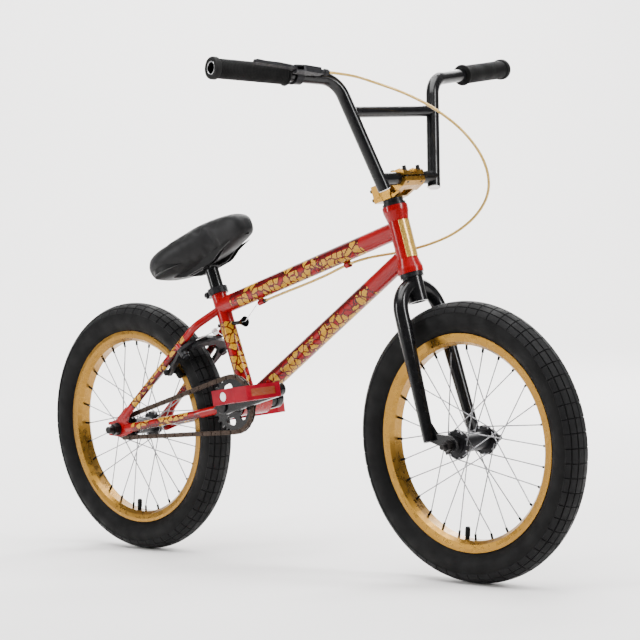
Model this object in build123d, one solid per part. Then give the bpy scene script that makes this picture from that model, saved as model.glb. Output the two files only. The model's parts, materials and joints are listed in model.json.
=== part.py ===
from build123d import *
import os
from math import asin, atan2, cos, degrees, pi, radians, sin, sqrt, tan

# BMX bicycle with 18 inch wheels, a U-brake at the back and a four-piece handlebar.
# X points forward, Y to the rider's left and Z up. The origin is on the floor, midway
# between the two wheel axles. The chain is on the right (-Y) side. Millimetres.

# ---------------------------------------------------------------- driving sizes
wheelbase = 830.0
tyre_outer_radius = 236.5
tyre_section_radius = 29.5
tyre_wall = 3.5
rim_bead_radius = 177.5
rim_flange_height = 6.0
rim_half_width = 17.0
rim_wall = 2.2
rim_well_radius = 164.0
rim_well_half_width = 9.5
tube_wall = 1.2
valve_radius = 4.0
valve_length = 38.0

spoke_count = 28
spoke_radius = 1.0
spoke_crossings = 3
spoke_circle_radius = 23.0
nipple_radius = 2.0
nipple_length = 12.0
hub_flange_radius = 25.0
hub_flange_thickness = 3.0
hub_flange_bevel = 1.4
spoke_lean = 2.4
hub_barrel_radius = 15.0
hub_bearing_radius = 13.0
hub_bearing_width = 8.0
front_flange_offset = 35.0
front_over_locknut = 100.0
front_axle_radius = 5.0
front_axle_length = 150.0
rear_flange_offset = 30.0
rear_over_locknut = 110.0
rear_axle_radius = 7.0
rear_axle_length = 168.0
axle_end_step = 0.25

head_angle = 75.0
fork_rake = 38.0
steerer_bottom = 253.0
head_tube_bottom = 303.5
head_tube_length = 118.5
steerer_radius = 14.3
steerer_root_radius = 17.0
head_tube_radius = 18.0
head_ring_radius = 22.0
head_ring_height = 9.0
head_ring_taper = 17.0
badge_low = 330.0
badge_height = 65.0
head_bearing_height = 8.0
head_bearing_radius = 20.0
fork_leg_top_radius = 12.7
fork_leg_tip_radius = 10.0
fork_leg_spread = 58.0
fork_plate_thickness = 5.0

seat_angle = 71.0
bracket_x = -110.2
bracket_z = 290.0
seat_tube_length = 219.0
seat_tube_radius = 14.3
main_tube_radius = 15.9
frame_wall = 1.6
top_tube_head_drop = 39.5
top_tube_seat_height = 185.0
down_tube_head_drop = 87.0
bracket_radius = 23.0
bracket_half_width = 34.0
bracket_bearing_radius = 20.5
bracket_bearing_width = 9.0
stay_radius = 7.0
chain_stay_radius = 8.0
dropout_thickness = 5.0
dropout_centre = 57.5

stem_reach = 43.0
stem_bar_rise = 37.0
stem_half_width = 25.0
bar_radius = 11.1
bar_wall = 1.6
bar_foot_side = 62.5
bar_foot_drop = 17.454
bar_corner_offset = (-39.032, 120.5, 168.846)
bar_end_offset = (-81.932, 364.0, 190.446)
bar_bend_radius = 45.0
crossbar_rise = 113.746
crossbar_radius = 9.5
grip_inner = 221.0
grip_radius = 16.3
grip_flange_radius = 18.6

chain_pitch = 12.7
sprocket_teeth = 25
driver_teeth = 9
sprocket_thickness = 2.8
chain_line = 42.0
roller_radius = 3.85
crank_length = 145.0
crank_angle = 13.0
crank_thickness = 14.0
crank_offset = 57.0
spindle_radius = 9.5
pedal_gap = 22.0
pedal_width = 108.0
pedal_half_length = 33.0
pedal_height = 26.0
pedal_pitch = 8.0
pedal_axle_radius = 5.0

seat_post_radius = 12.65
seat_post_insert = 47.0
seat_post_reach = 39.0
saddle_length = 252.0
saddle_half_width = 74.0
saddle_nose_half_width = 21.0
saddle_thickness = 54.0
saddle_skirt = 14.0
saddle_tilt = 20.0

lever_station = 200.0
lever_elevation = 20.0
lever_offset = 22.0
cable_radius = 2.5
wire_radius = 0.8
brake_pivot_radius = 4.0
brake_reach = 58.8
brake_pivot_spread = 47.5
pad_gap = 2.0

running = 0.05
face_gap = 0.3

wheel_front = Vector(wheelbase / 2, 0, tyre_outer_radius)
wheel_rear = Vector(-wheelbase / 2, 0, tyre_outer_radius)
bracket = Vector(bracket_x, 0, bracket_z)
right = -1
left = 1

os.makedirs("parts", exist_ok=True)


# ---------------------------------------------------------------- helpers
def save(name, *solids):
    """Write one node: one solid, or a group of separate solids."""
    shapes = []
    for solid in solids:
        shapes.extend(solid.solids())
    shape = shapes[0] if len(shapes) == 1 else Compound(shapes)
    export_step(shape, f"parts/{name}.step")


def rod(start, end, radius, bore=0.0):
    """Round bar from start to end, or a tube if it has a bore."""
    start = Vector(*start) if isinstance(start, tuple) else start
    end = Vector(*end) if isinstance(end, tuple) else end
    axis = end - start
    plane = Plane(origin=start, z_dir=axis.normalized())
    solid = Solid.make_cylinder(radius, axis.length, plane)
    if bore:
        solid = solid - Solid.make_cylinder(bore, axis.length, plane)
    return solid


def bent_path(points, radii):
    return FilletPolyline(*points, radius=radii)


def bent_rod(points, radii, radius, bore=0.0):
    """Rod along straight runs joined by tangent arcs."""
    path = bent_path(points, radii)
    start = Plane(origin=path @ 0, z_dir=path % 0)
    solid = sweep(start * Circle(radius), path=path)
    if bore:
        solid = solid - sweep(start * Circle(bore), path=path)
    return solid


def block(low, high):
    """Box between two opposite corners."""
    size = [b - a for a, b in zip(low, high)]
    return Pos(*low) * Box(*size, align=(Align.MIN, Align.MIN, Align.MIN))


def plate(points, plane, thickness):
    """Flat plate of the given outline, extruded along the plane's normal."""
    return extrude(plane * make_face(Polyline(*points, close=True)), amount=thickness)


def tapered_link(radius_a, radius_b, length, plane, thickness):
    """Flat arm with a round end of radius_a at the origin and one of radius_b at length."""
    outline = [(0, radius_a), (length, radius_b), (length, -radius_b), (0, -radius_a)]
    sketch = Circle(radius_a) + Pos(length, 0) * Circle(radius_b)
    sketch = sketch + make_face(Polyline(*outline, close=True))
    return extrude(plane * sketch, amount=thickness)


def turned(half_profile):
    """Body turned about Y from the half profile (radius, y), mirrored in y = 0."""
    mirrored = [(radius, -offset) for radius, offset in reversed(half_profile)]
    return revolve(make_face(Polyline(*half_profile, *mirrored, close=True)), axis=Axis.Y)


def other_side(shape):
    return mirror(shape, about=Plane.XZ)


def on_y(point, y):
    return Vector(point.X, y, point.Z)


# ---------------------------------------------------------------- reference planes
steer_up = Vector(-cos(radians(head_angle)), 0, sin(radians(head_angle)))
steer_forward = Vector(sin(radians(head_angle)), 0, cos(radians(head_angle)))
steer_foot = wheel_front - steer_forward * fork_rake
steering = Plane(origin=steer_foot, x_dir=steer_forward, z_dir=steer_up)
seat_up = Vector(-cos(radians(seat_angle)), 0, sin(radians(seat_angle)))
seat_forward = Vector(sin(radians(seat_angle)), 0, cos(radians(seat_angle)))
seat_plane = Plane(origin=bracket, x_dir=seat_forward, z_dir=seat_up)
head_tube_top = head_tube_bottom + head_tube_length
stem_bar_height = head_tube_top + stem_bar_rise


def steer_point(forward, side, height):
    return steering.from_local_coords(Vector(forward, side, height))


def seat_point(forward, side, height):
    return seat_plane.from_local_coords(Vector(forward, side, height))


# ---------------------------------------------------------------- wheels
rim_flange_radius = rim_bead_radius + rim_flange_height
section_centre_radius = tyre_outer_radius - tyre_section_radius
rim_inner_half_width = rim_half_width - rim_wall
bead_half_width = rim_inner_half_width - 0.1
nipple_hole_radius = nipple_radius + 0.2
valve_hole_radius = valve_radius + 0.3


def circle_half_width(radius, height):
    """Half width of the tyre section's circle at a height from the axle."""
    return sqrt(radius ** 2 - (height - section_centre_radius) ** 2)


def polar(radius, angle):
    return Vector(radius * cos(radians(angle)), 0, radius * sin(radians(angle)))


def rim_solid(valve_angle):
    shoulder = (rim_well_radius + rim_bead_radius) / 2
    channel = [
        (rim_well_radius + rim_wall, rim_well_half_width - rim_wall / 2),
        (shoulder + rim_wall / 2, rim_inner_half_width - 1.0),
        (rim_bead_radius, rim_inner_half_width),
        (rim_flange_radius, rim_inner_half_width),
    ]
    skin = [
        (rim_flange_radius, rim_half_width),
        (rim_bead_radius, rim_half_width),
        (shoulder - rim_wall / 2, rim_half_width - 1.0),
        (rim_well_radius, rim_well_half_width),
    ]
    rim = turned(channel + skin)
    depth = rim_well_radius + 4 * rim_wall
    for index in range(spoke_count):
        angle = index * 360 / spoke_count
        rim = rim - rod(polar(rim_well_radius - 5, angle), polar(depth, angle), nipple_hole_radius)
    valve_end = polar(depth, valve_angle)
    return rim - rod(polar(rim_well_radius - 5, valve_angle), valve_end, valve_hole_radius)


def tyre_solid():
    outer_foot = rim_flange_radius + 0.8
    inner_foot = rim_flange_radius + tyre_wall
    inner_radius = tyre_section_radius - tyre_wall
    outer_width = circle_half_width(tyre_section_radius, outer_foot)
    inner_width = circle_half_width(inner_radius, inner_foot)
    bead_inner = bead_half_width - tyre_wall
    bead_foot = rim_bead_radius + 0.1
    crown = tyre_outer_radius
    outer = ThreePointArc((outer_foot, outer_width), (crown, 0), (outer_foot, -outer_width))
    right_bead = Polyline(
        (outer_foot, -outer_width),
        (outer_foot, -bead_half_width),
        (bead_foot, -bead_half_width),
        (bead_foot, -bead_inner),
        (outer_foot, -bead_inner),
        (inner_foot, -inner_width),
    )
    inner = ThreePointArc((inner_foot, -inner_width), (crown - tyre_wall, 0), (inner_foot, inner_width))
    left_bead = Polyline(
        (inner_foot, inner_width),
        (outer_foot, bead_inner),
        (bead_foot, bead_inner),
        (bead_foot, bead_half_width),
        (outer_foot, bead_half_width),
        (outer_foot, outer_width),
    )
    section = make_face([*outer.edges(), *right_bead.edges(), *inner.edges(), *left_bead.edges()])
    return revolve(section, axis=Axis.Y)


def inner_tube_solid(valve_angle):
    radius = tyre_section_radius - tyre_wall - 1.0
    section = Pos(section_centre_radius, 0) * (Circle(radius) - Circle(radius - tube_wall))
    ring = revolve(section, axis=Axis.Y)
    valve_top = section_centre_radius - radius + tube_wall / 2
    stem = rod(polar(valve_top, valve_angle), polar(valve_top - valve_length, valve_angle), valve_radius)
    return ring + stem


def hub_solid(flange_offset):
    inner = flange_offset - hub_flange_thickness / 2
    outer = flange_offset + hub_flange_thickness / 2
    lip = flange_offset + hub_bearing_width / 2
    seat = lip - hub_bearing_width
    bevel = hub_flange_bevel
    bored = rod((0, -seat, 0), (0, seat, 0), hub_bearing_radius - 3)
    seats = rod((0, -lip, 0), (0, -seat, 0), hub_bearing_radius) + rod((0, seat, 0), (0, lip, 0), hub_bearing_radius)
    hub = rod((0, -lip, 0), (0, lip, 0), hub_barrel_radius)
    for side in (left, right):
        rim_plane = Plane(origin=(0, side * (outer - bevel), 0), z_dir=(0, side, 0))
        hub = hub + rod((0, side * inner, 0), (0, side * (outer - bevel), 0), hub_flange_radius)
        hub = hub + Solid.make_cone(hub_flange_radius, hub_flange_radius - bevel, bevel, rim_plane)
    hub = hub - bored - seats
    for index in range(spoke_count // 2):
        for side in (left, right):
            angle = spoke_angle(index, side)
            hole = polar(spoke_circle_radius, angle)
            hub = hub - rod(on_y(hole, side * (outer + 1)), on_y(hole, side * (inner - 1)), spoke_radius + running)
    return hub


def spoke_angle(index, side):
    """Angle of a flange hole; the left flange is turned by half a hole."""
    shift = 0.5 if side == left else 0.0
    return (index + shift) * 720 / spoke_count


def wheel_solids(flange_offset):
    """Spokes and nipples: even ones lead on the flange's outside, odd ones trail on its inside."""
    spokes = []
    nipples = []
    turn = spoke_crossings * 720 / spoke_count
    inner = flange_offset - hub_flange_thickness / 2
    outer = flange_offset + hub_flange_thickness / 2
    head_height = 1.2
    nipple_end = rim_well_radius + rim_wall + 0.1
    nipple_start = nipple_end - nipple_length
    for side in (left, right):
        for index in range(spoke_count // 2):
            leading = index % 2 == 0
            start_y = outer + spoke_lean if leading else inner - spoke_radius - 0.1
            head_y = inner - head_height if leading else outer + head_height
            angle = spoke_angle(index, side)
            rim_angle = angle + turn if leading else angle - turn
            hole = polar(spoke_circle_radius, angle)
            start = on_y(hole, side * start_y)
            target = polar(nipple_start - 0.5, rim_angle)
            spoke = rod(start, target, spoke_radius)
            spoke = spoke + rod(start, on_y(hole, side * head_y), spoke_radius)
            face_y = inner if leading else outer
            spoke = spoke + rod(on_y(hole, side * face_y), on_y(hole, side * head_y), spoke_radius * 1.8)
            spokes.append(spoke)
            body = rod(polar(nipple_start, rim_angle), polar(nipple_end, rim_angle), nipple_radius)
            head = rod(polar(nipple_end, rim_angle), polar(nipple_end + 2, rim_angle), nipple_radius + 1)
            nipples.append(body + head)
    return spokes, nipples


def bearing_pair(flange_offset, axle_radius):
    lip = flange_offset + hub_bearing_width / 2
    rings = []
    for side in (left, right):
        start = Vector(0, side * (lip - hub_bearing_width), 0)
        end = Vector(0, side * lip, 0)
        rings.append(rod(start, end, hub_bearing_radius, axle_radius + running))
    return rings


def build_wheel(prefix, centre, flange_offset, axle_radius, valve_angle):
    place = Pos(centre.X, centre.Y, centre.Z)
    spokes, nipples = wheel_solids(flange_offset)
    save(f"{prefix}_rim", place * rim_solid(valve_angle))
    save(f"{prefix}_tyre", place * tyre_solid())
    save(f"{prefix}_inner_tube", place * inner_tube_solid(valve_angle))
    rings = bearing_pair(flange_offset, axle_radius)
    save(f"{prefix}_hub", place * hub_solid(flange_offset), *[place * ring for ring in rings])
    save(f"{prefix}_spokes", *[place * piece for piece in (*spokes, *nipples)])


build_wheel("front", wheel_front, front_flange_offset, front_axle_radius, -96.4)
build_wheel("rear", wheel_rear, rear_flange_offset, rear_axle_radius, -96.4)


def hex_nut(centre, y_start, y_end, across_flats, bore):
    """Hexagonal nut on an axle along Y."""
    plane = Plane(origin=on_y(centre, y_start), z_dir=(0, 1 if y_end > y_start else -1, 0))
    sketch = RegularPolygon(across_flats / 2, 6, major_radius=False) - Circle(bore)
    return extrude(plane * sketch, amount=abs(y_end - y_start))


def axle_pieces(centre, length, radius, over_locknut, plate_outer, flange_offset, nut_size):
    """Axle, the cone spacers inside the dropouts and the nuts outside them."""
    nut_outer = plate_outer + 12
    axle = rod(on_y(centre, -nut_outer), on_y(centre, nut_outer), radius)
    for side in (left, right):
        axle = axle + rod(on_y(centre, side * nut_outer), on_y(centre, side * length / 2), radius - axle_end_step)
    spacers = []
    nuts = []
    spacer_start = flange_offset + hub_bearing_width / 2 + face_gap
    for side in (left, right):
        inside = on_y(centre, side * spacer_start)
        outside = on_y(centre, side * over_locknut / 2)
        spacers.append(rod(inside, outside, radius + 3.5, radius))
        washer_end = on_y(centre, side * (plate_outer + 2))
        nuts.append(rod(on_y(centre, side * plate_outer), washer_end, nut_size / 2 + 2.5, radius))
        nuts.append(hex_nut(centre, side * (plate_outer + 2), side * nut_outer, nut_size, radius))
    return axle, spacers, nuts


# ---------------------------------------------------------------- frame
head_axis_low = steer_point(0, 0, head_tube_bottom)
head_axis_high = steer_point(0, 0, head_tube_top)
head_bore = steerer_radius + 2.0
head_outer = rod(head_axis_low, head_axis_high, head_tube_radius)
for outer_end, inward in ((head_tube_bottom, 1), (head_tube_top, -1)):
    ring_end = outer_end + inward * head_ring_height
    head_outer = head_outer + rod(steer_point(0, 0, outer_end), steer_point(0, 0, ring_end), head_ring_radius)
    flare = Plane(origin=steer_point(0, 0, ring_end), z_dir=steering.z_dir * inward)
    head_outer = head_outer + Solid.make_cone(head_ring_radius, head_tube_radius, head_ring_taper, flare)
head_tube = head_outer - rod(head_axis_low, head_axis_high, head_bore)
bearing_spans = (
    ("lower", head_tube_bottom, head_tube_bottom + head_bearing_height),
    ("upper", head_tube_top - head_bearing_height, head_tube_top),
)
head_bearings = []
for position, low, high in bearing_spans:
    span = (steer_point(0, 0, low), steer_point(0, 0, high))
    head_tube = head_tube - rod(*span, head_bearing_radius)
    head_bearings.append(rod(*span, head_bearing_radius, steerer_radius + running))
save("head_tube", head_tube)

seat_tube_end = seat_point(0, 0, seat_tube_length)
seat_outer = rod(bracket, seat_tube_end, seat_tube_radius)
bracket_outer = rod(on_y(bracket, -bracket_half_width), on_y(bracket, bracket_half_width), bracket_radius)
seat_bore = seat_tube_radius - frame_wall

guide_height = 157.0
guide_radius = 3.6
guide_rear = seat_point(-23, 0, guide_height - 2)
guide_neck = seat_point(32, 0, guide_height - 14)
guide_mouth = seat_point(46, 0, guide_height - 17)
guide_plane = Plane(origin=guide_neck, z_dir=(guide_mouth - guide_neck).normalized())
guide_outer = rod(guide_rear, guide_neck, guide_radius)
guide_bell = Solid.make_cone(guide_radius, 10.0, (guide_mouth - guide_neck).length, guide_plane)
guide_bore = rod(
    guide_rear - (guide_neck - guide_rear).normalized() * 2,
    guide_mouth + (guide_mouth - guide_neck).normalized() * 2,
    guide_radius - 1.4,
)
guide_hollow = Solid.make_cone(guide_radius - 1.4, 8.6, (guide_mouth - guide_neck).length, guide_plane)
wire_guide = (guide_outer + guide_bell) - guide_bore - guide_hollow

seat_tube = seat_outer - rod(bracket, seat_tube_end, seat_bore) - bracket_outer - guide_outer
save("seat_tube", seat_tube)

bearing_length = bracket_bearing_width
shell = bracket_outer - rod(
    on_y(bracket, -bracket_half_width), on_y(bracket, bracket_half_width), bracket_bearing_radius
)
save("bottom_bracket_shell", shell)
bracket_bearings = []
for side in (left, right):
    inside = on_y(bracket, side * (bracket_half_width - bearing_length))
    outside = on_y(bracket, side * bracket_half_width)
    bracket_bearings.append(rod(inside, outside, bracket_bearing_radius, spindle_radius + running))
save("frame_bearings", *head_bearings, *bracket_bearings)

top_tube_head = steer_point(0, 0, head_tube_top - top_tube_head_drop)
top_tube_seat = seat_point(0, 0, top_tube_seat_height)
down_tube_head = steer_point(0, 0, head_tube_top - down_tube_head_drop)
main_bore = main_tube_radius - frame_wall
top_tube = rod(top_tube_head, top_tube_seat, main_tube_radius, main_bore)
down_tube = rod(down_tube_head, bracket, main_tube_radius, main_bore)
save("top_tube", top_tube - head_outer - seat_outer)
save("down_tube", down_tube - head_outer - seat_outer - bracket_outer)

badge_plane = steering.offset(badge_low)
badge_arc = Circle(head_tube_radius + 0.8) - Circle(head_tube_radius)
badge_sector = Pos(head_tube_radius, 0) * Rectangle(head_tube_radius * 1.1, head_tube_radius * 1.5)
save("head_badge", extrude(badge_plane * (badge_arc & badge_sector), amount=badge_height))

# Rear triangle: the stays end in slots that hold the dropout plates.
dropout_inner = dropout_centre - dropout_thickness / 2
dropout_outer = dropout_centre + dropout_thickness / 2
dropout_outline = [
    (wheel_rear.X - 26, wheel_rear.Z - 13),
    (wheel_rear.X + 10, wheel_rear.Z - 15),
    (wheel_rear.X + 40, wheel_rear.Z - 5),
    (wheel_rear.X + 42, wheel_rear.Z + 7),
    (wheel_rear.X + 26, wheel_rear.Z + 14),
    (wheel_rear.X + 36, wheel_rear.Z + 34),
    (wheel_rear.X + 26, wheel_rear.Z + 42),
    (wheel_rear.X - 4, wheel_rear.Z + 17),
    (wheel_rear.X - 26, wheel_rear.Z + 12),
]
dropout_plane = Plane(origin=(0, -dropout_outer, 0), x_dir=(1, 0, 0), z_dir=(0, -1, 0))
dropout_plate = plate(dropout_outline, dropout_plane.offset(-dropout_thickness), dropout_thickness)
slot_low = (wheel_rear.X - 30, -dropout_outer - 1, wheel_rear.Z - rear_axle_radius)
slot_high = (wheel_rear.X, -dropout_inner + 1, wheel_rear.Z + rear_axle_radius)
axle_hole = rod(on_y(wheel_rear, -dropout_outer - 1), on_y(wheel_rear, -dropout_inner + 1), rear_axle_radius)
dropout_right = dropout_plate - block(slot_low, slot_high) - axle_hole

stay_top = seat_point(0, -6, 181)
seat_stay_line = [
    stay_top,
    Vector(-203, -42, 431),
    Vector(wheel_rear.X + 43, -dropout_centre + 1.5, wheel_rear.Z + 45),
    Vector(wheel_rear.X + 22, -dropout_centre, wheel_rear.Z + 26),
]
chain_stay_line = [
    Vector(bracket.X - 14, -20, bracket.Z - 4),
    Vector(bracket.X - 97, -41, bracket.Z - 21),
    Vector(wheel_rear.X + 52, -dropout_centre + 0.5, wheel_rear.Z + 6),
    Vector(wheel_rear.X + 26, -dropout_centre, wheel_rear.Z + 2),
]
seat_stay = bent_rod(seat_stay_line, [45, 60], stay_radius, stay_radius - frame_wall)
seat_stay = seat_stay - seat_outer - dropout_plate - rod(top_tube_head, top_tube_seat, main_tube_radius)
chain_stay = bent_rod(chain_stay_line, [80, 90], chain_stay_radius, chain_stay_radius - frame_wall)
chain_stay = chain_stay - bracket_outer - dropout_plate
seat_stay = seat_stay.solids().sort_by(SortBy.VOLUME)[-1]
chain_stay = chain_stay.solids().sort_by(SortBy.VOLUME)[-1]
chain_stay_outer = bent_rod(chain_stay_line, [80, 90], chain_stay_radius)

brake_centre_radius = 233.8
brake_slope = 43.36
brake_up = Vector(cos(radians(brake_slope)), 0, sin(radians(brake_slope)))
brake_out = Vector(sin(radians(brake_slope)), 0, -cos(radians(brake_slope)))
brake_origin = wheel_rear + brake_up * brake_centre_radius
brake_plane = Plane(origin=brake_origin, x_dir=brake_up, z_dir=brake_out)


def brake_point(up, side, out):
    """Point in the brake's frame; side is along +Y."""
    return brake_origin + brake_up * up + Vector(0, side, 0) + brake_out * out


boss_length = 28.0
boss_shoulder = 11.0
seat_stay_outer = bent_rod(seat_stay_line, [45, 60], stay_radius)
boss_start = brake_point(0, -brake_pivot_spread, 0)
boss_right = rod(boss_start, brake_point(0, -brake_pivot_spread, boss_shoulder), 7.0)
boss_right = boss_right + rod(boss_start, brake_point(0, -brake_pivot_spread, boss_length), brake_pivot_radius)
boss_right = boss_right - seat_stay_outer
boss_right = boss_right.solids().sort_by(SortBy.VOLUME)[-1]
bridge_x = bracket.X - 47
bridge = rod((bridge_x, -45, bracket.Z - 12), (bridge_x, 45, bracket.Z - 12), 5.0, 3.6)
bridge = bridge - chain_stay_outer - other_side(chain_stay_outer)
bridge = bridge.solids().sort_by(SortBy.VOLUME)[-1]

save("seat_stays", seat_stay, other_side(seat_stay))
save("chain_stays", chain_stay, other_side(chain_stay), bridge)
save("rear_dropouts", dropout_right, other_side(dropout_right))

rear_axle, rear_spacers, rear_nuts = axle_pieces(
    wheel_rear, rear_axle_length, rear_axle_radius, rear_over_locknut, dropout_outer, rear_flange_offset, 19
)
save("rear_axle", rear_axle, *rear_spacers, *rear_nuts)

clamp_low = seat_tube_length - 10
clamp_high = seat_tube_length + 2
clamp_ring = rod(seat_point(0, 0, clamp_low), seat_point(0, 0, seat_tube_length), 18.5, seat_tube_radius)
clamp_lip = rod(
    seat_point(0, 0, seat_tube_length), seat_point(0, 0, clamp_high), 18.5, seat_post_radius + running
)
clamp_ears = seat_plane * block((-27, -8, clamp_low), (-16, 8, clamp_high))
clamp_slit = seat_plane * block((-30, -1, clamp_low - 1), (-seat_tube_radius, 1, clamp_high + 1))
clamp_bolt_hole = rod(seat_point(-22.5, -12, clamp_low + 6), seat_point(-22.5, 12, clamp_low + 6), 2.5)
clamp_core = rod(seat_point(0, 0, clamp_low - 1), seat_point(0, 0, clamp_high + 1), 16.0)
clamp = clamp_ring + clamp_lip + (clamp_ears - clamp_core)
clamp = clamp - clamp_slit - clamp_bolt_hole
clamp_bolt = rod(seat_point(-22.5, -8, clamp_low + 6), seat_point(-22.5, 11, clamp_low + 6), 2.5)
clamp_bolt = clamp_bolt + rod(seat_point(-22.5, -12, clamp_low + 6), seat_point(-22.5, -8, clamp_low + 6), 4.2)

# Cable stop and guide under the top tube.
top_tube_run = (top_tube_head - top_tube_seat).normalized()
top_tube_down = Vector(top_tube_run.Z, 0, -top_tube_run.X)
stop_along = 95.0
stop_drop = main_tube_radius + 6.0


def under_top_tube(along, drop, side=0.0):
    return top_tube_seat + top_tube_run * along + top_tube_down * drop + Vector(0, side, 0)


stop_barrel = rod(under_top_tube(stop_along, stop_drop), under_top_tube(stop_along + 14, stop_drop), 4.6)
stop_bore = rod(under_top_tube(stop_along + 3, stop_drop), under_top_tube(stop_along + 15, stop_drop), 3.6)
stop_hole = rod(under_top_tube(stop_along - 1, stop_drop), under_top_tube(stop_along + 4, stop_drop), 1.6)
stop_web = Plane(origin=under_top_tube(stop_along + 7, main_tube_radius / 2), x_dir=top_tube_run, z_dir=top_tube_down)
stop_web = extrude(stop_web * Rectangle(10, 5), amount=stop_drop - main_tube_radius / 2)
top_tube_outer = rod(top_tube_head, top_tube_seat, main_tube_radius)
cable_stop = (stop_barrel + stop_web) - stop_bore - stop_hole - top_tube_outer
cable_ferrule = rod(
    under_top_tube(stop_along + 3, stop_drop), under_top_tube(stop_along + 20, stop_drop), 3.5, cable_radius
)
guide_along = 327.0
guide_drop = main_tube_radius + 4.6
guide_side = 4.0
guide_bore_radius = cable_radius + 1.8
guide_low = under_top_tube(guide_along - 5, guide_drop, guide_side)
guide_high = under_top_tube(guide_along + 5, guide_drop, guide_side)
cable_guide = rod(guide_low, guide_high, guide_bore_radius + 1.6) - rod(
    under_top_tube(guide_along - 9, guide_drop, guide_side),
    under_top_tube(guide_along + 9, guide_drop, guide_side),
    guide_bore_radius,
)
cable_guide = cable_guide - top_tube_outer
save("frame_fittings", cable_stop, cable_guide, boss_right, other_side(boss_right))

# ---------------------------------------------------------------- fork and stem
race_top = head_tube_bottom - face_gap
race_bottom = race_top - 7
clamp_base = head_tube_top + 12
clamp_top = clamp_base + 30
steerer = rod(steer_point(0, 0, race_bottom), steer_point(0, 0, clamp_top - 4), steerer_radius)
steerer_root = rod(steer_point(0, 0, steerer_bottom), steer_point(0, 0, race_bottom), steerer_root_radius)
steerer_bore = rod(
    steer_point(0, 0, steerer_bottom - 1), steer_point(0, 0, clamp_top), steerer_radius - 2.2
)
save("fork_steerer", (steerer + steerer_root) - steerer_bore)
crown_race = rod(steer_point(0, 0, race_bottom), steer_point(0, 0, race_top), head_bearing_radius, steerer_radius)
dust_cover = rod(
    steer_point(0, 0, head_tube_top + face_gap), steer_point(0, 0, head_tube_top + 5), 20.0, steerer_radius
)
spacer = rod(steer_point(0, 0, head_tube_top + 5), steer_point(0, 0, clamp_base), 17.5, steerer_radius)

leg_shoulder = Vector(0, -47, 270)
leg_root = Vector(0, -5, 284)
leg_tip = Vector(0, -fork_leg_spread, 16)
leg_bend = 50.0
leg_run = (leg_tip - leg_shoulder).normalized()
leg_cut = leg_shoulder + leg_run * 60


def fork_leg(top_radius, tip_radius):
    upper = bent_rod([leg_root, leg_shoulder, leg_cut], [leg_bend], top_radius)
    plane = Plane(origin=leg_cut, z_dir=leg_run)
    return upper + Solid.make_cone(top_radius, tip_radius, (leg_tip - leg_cut).length, plane)


fork_plate_inner = front_over_locknut / 2
fork_plate_outer = fork_plate_inner + fork_plate_thickness
fork_outline = [
    (-7, 46),
    (7, 48),
    (17, 25),
    (fork_rake + 8, 15),
    (fork_rake + 16, 4),
    (fork_rake + 13, -9),
    (fork_rake - 12, -13),
    (fork_rake - 14, 0),
    (4, 12),
    (-8, 20),
]
fork_plane = Plane(origin=(0, -fork_plate_outer, 0), x_dir=(1, 0, 0), z_dir=(0, -1, 0))
fork_plate = plate(fork_outline, fork_plane.offset(-fork_plate_thickness), fork_plate_thickness)
fork_slot_low = (fork_rake - front_axle_radius, -fork_plate_outer - 1, -20)
fork_slot_high = (fork_rake + front_axle_radius, -fork_plate_inner + 1, 0)
fork_hole = rod((fork_rake, -fork_plate_outer - 1, 0), (fork_rake, -fork_plate_inner + 1, 0), front_axle_radius)
fork_dropout = fork_plate - block(fork_slot_low, fork_slot_high) - fork_hole
root_cut = rod((0, 0, steerer_bottom), (0, 0, head_tube_bottom), steerer_root_radius)
leg_wall = 2.0
leg = fork_leg(fork_leg_top_radius, fork_leg_tip_radius)
leg = leg - fork_leg(fork_leg_top_radius - leg_wall, fork_leg_tip_radius - leg_wall) - root_cut - fork_plate
leg = leg - block((-30, -30, race_bottom), (30, 30, race_bottom + 30))
leg = leg.solids().sort_by(SortBy.VOLUME)[-1]
save("fork_legs", steering * leg, steering * other_side(leg))
save("fork_dropouts", steering * fork_dropout, steering * other_side(fork_dropout))

front_axle, front_spacers, front_nuts = axle_pieces(
    wheel_front, front_axle_length, front_axle_radius, front_over_locknut, fork_plate_outer, front_flange_offset, 15
)
save("front_axle", front_axle, *front_spacers, *front_nuts)

bar_bore = rod((stem_reach, -60, stem_bar_height), (stem_reach, 60, stem_bar_height), bar_radius)
steerer_hole = rod((0, 0, clamp_base - 1), (0, 0, clamp_top + 1), steerer_radius)
stem_front = stem_reach + bar_radius + 6.0
stem_outline = [
    (-25, clamp_base),
    (19, clamp_base),
    (stem_front - 8, stem_bar_height - 15),
    (stem_front, stem_bar_height - 9),
    (stem_front, stem_bar_height - 1.5),
    (stem_reach - bar_radius - 6, stem_bar_height - 1.5),
    (20, clamp_top),
    (-25, clamp_top),
]
stem_plane = Plane(origin=(0, stem_half_width, 0), x_dir=(1, 0, 0), z_dir=(0, -1, 0))
stem = plate(stem_outline, stem_plane, 2 * stem_half_width)
stem = stem - block((-30, 20, clamp_base - 1), (14, 40, clamp_top + 1))
stem = stem - block((-30, -40, clamp_base - 1), (14, -20, clamp_top + 1))
for side in (left, right):
    stem = stem + block((-21, side * 20.5 - 0.5, clamp_base + 8), (-9, side * 20.5 + 0.5, clamp_top - 7))
stem = stem - block((22, -11, clamp_base - 1), (40, 11, stem_bar_height - 10))
stem_window = [
    (20.5, clamp_base + 5),
    (33, clamp_base + 9),
    (29.5, stem_bar_height - 9),
    (26.5, stem_bar_height - 6.5),
    (20.5, stem_bar_height - 6.5),
]
stem = stem - plate(stem_window, stem_plane, 2 * stem_half_width)
for side in (left, right):
    outside = sorted((side * 18, side * (stem_half_width + 1)))
    stem = stem - block((14, outside[0], clamp_base - 1), (36, outside[1], clamp_base + 8))
stem = stem - bar_bore - steerer_hole
stem = stem - block((-5.5, -30, clamp_base - 1), (-4.5, 30, clamp_top + 1))
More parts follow.
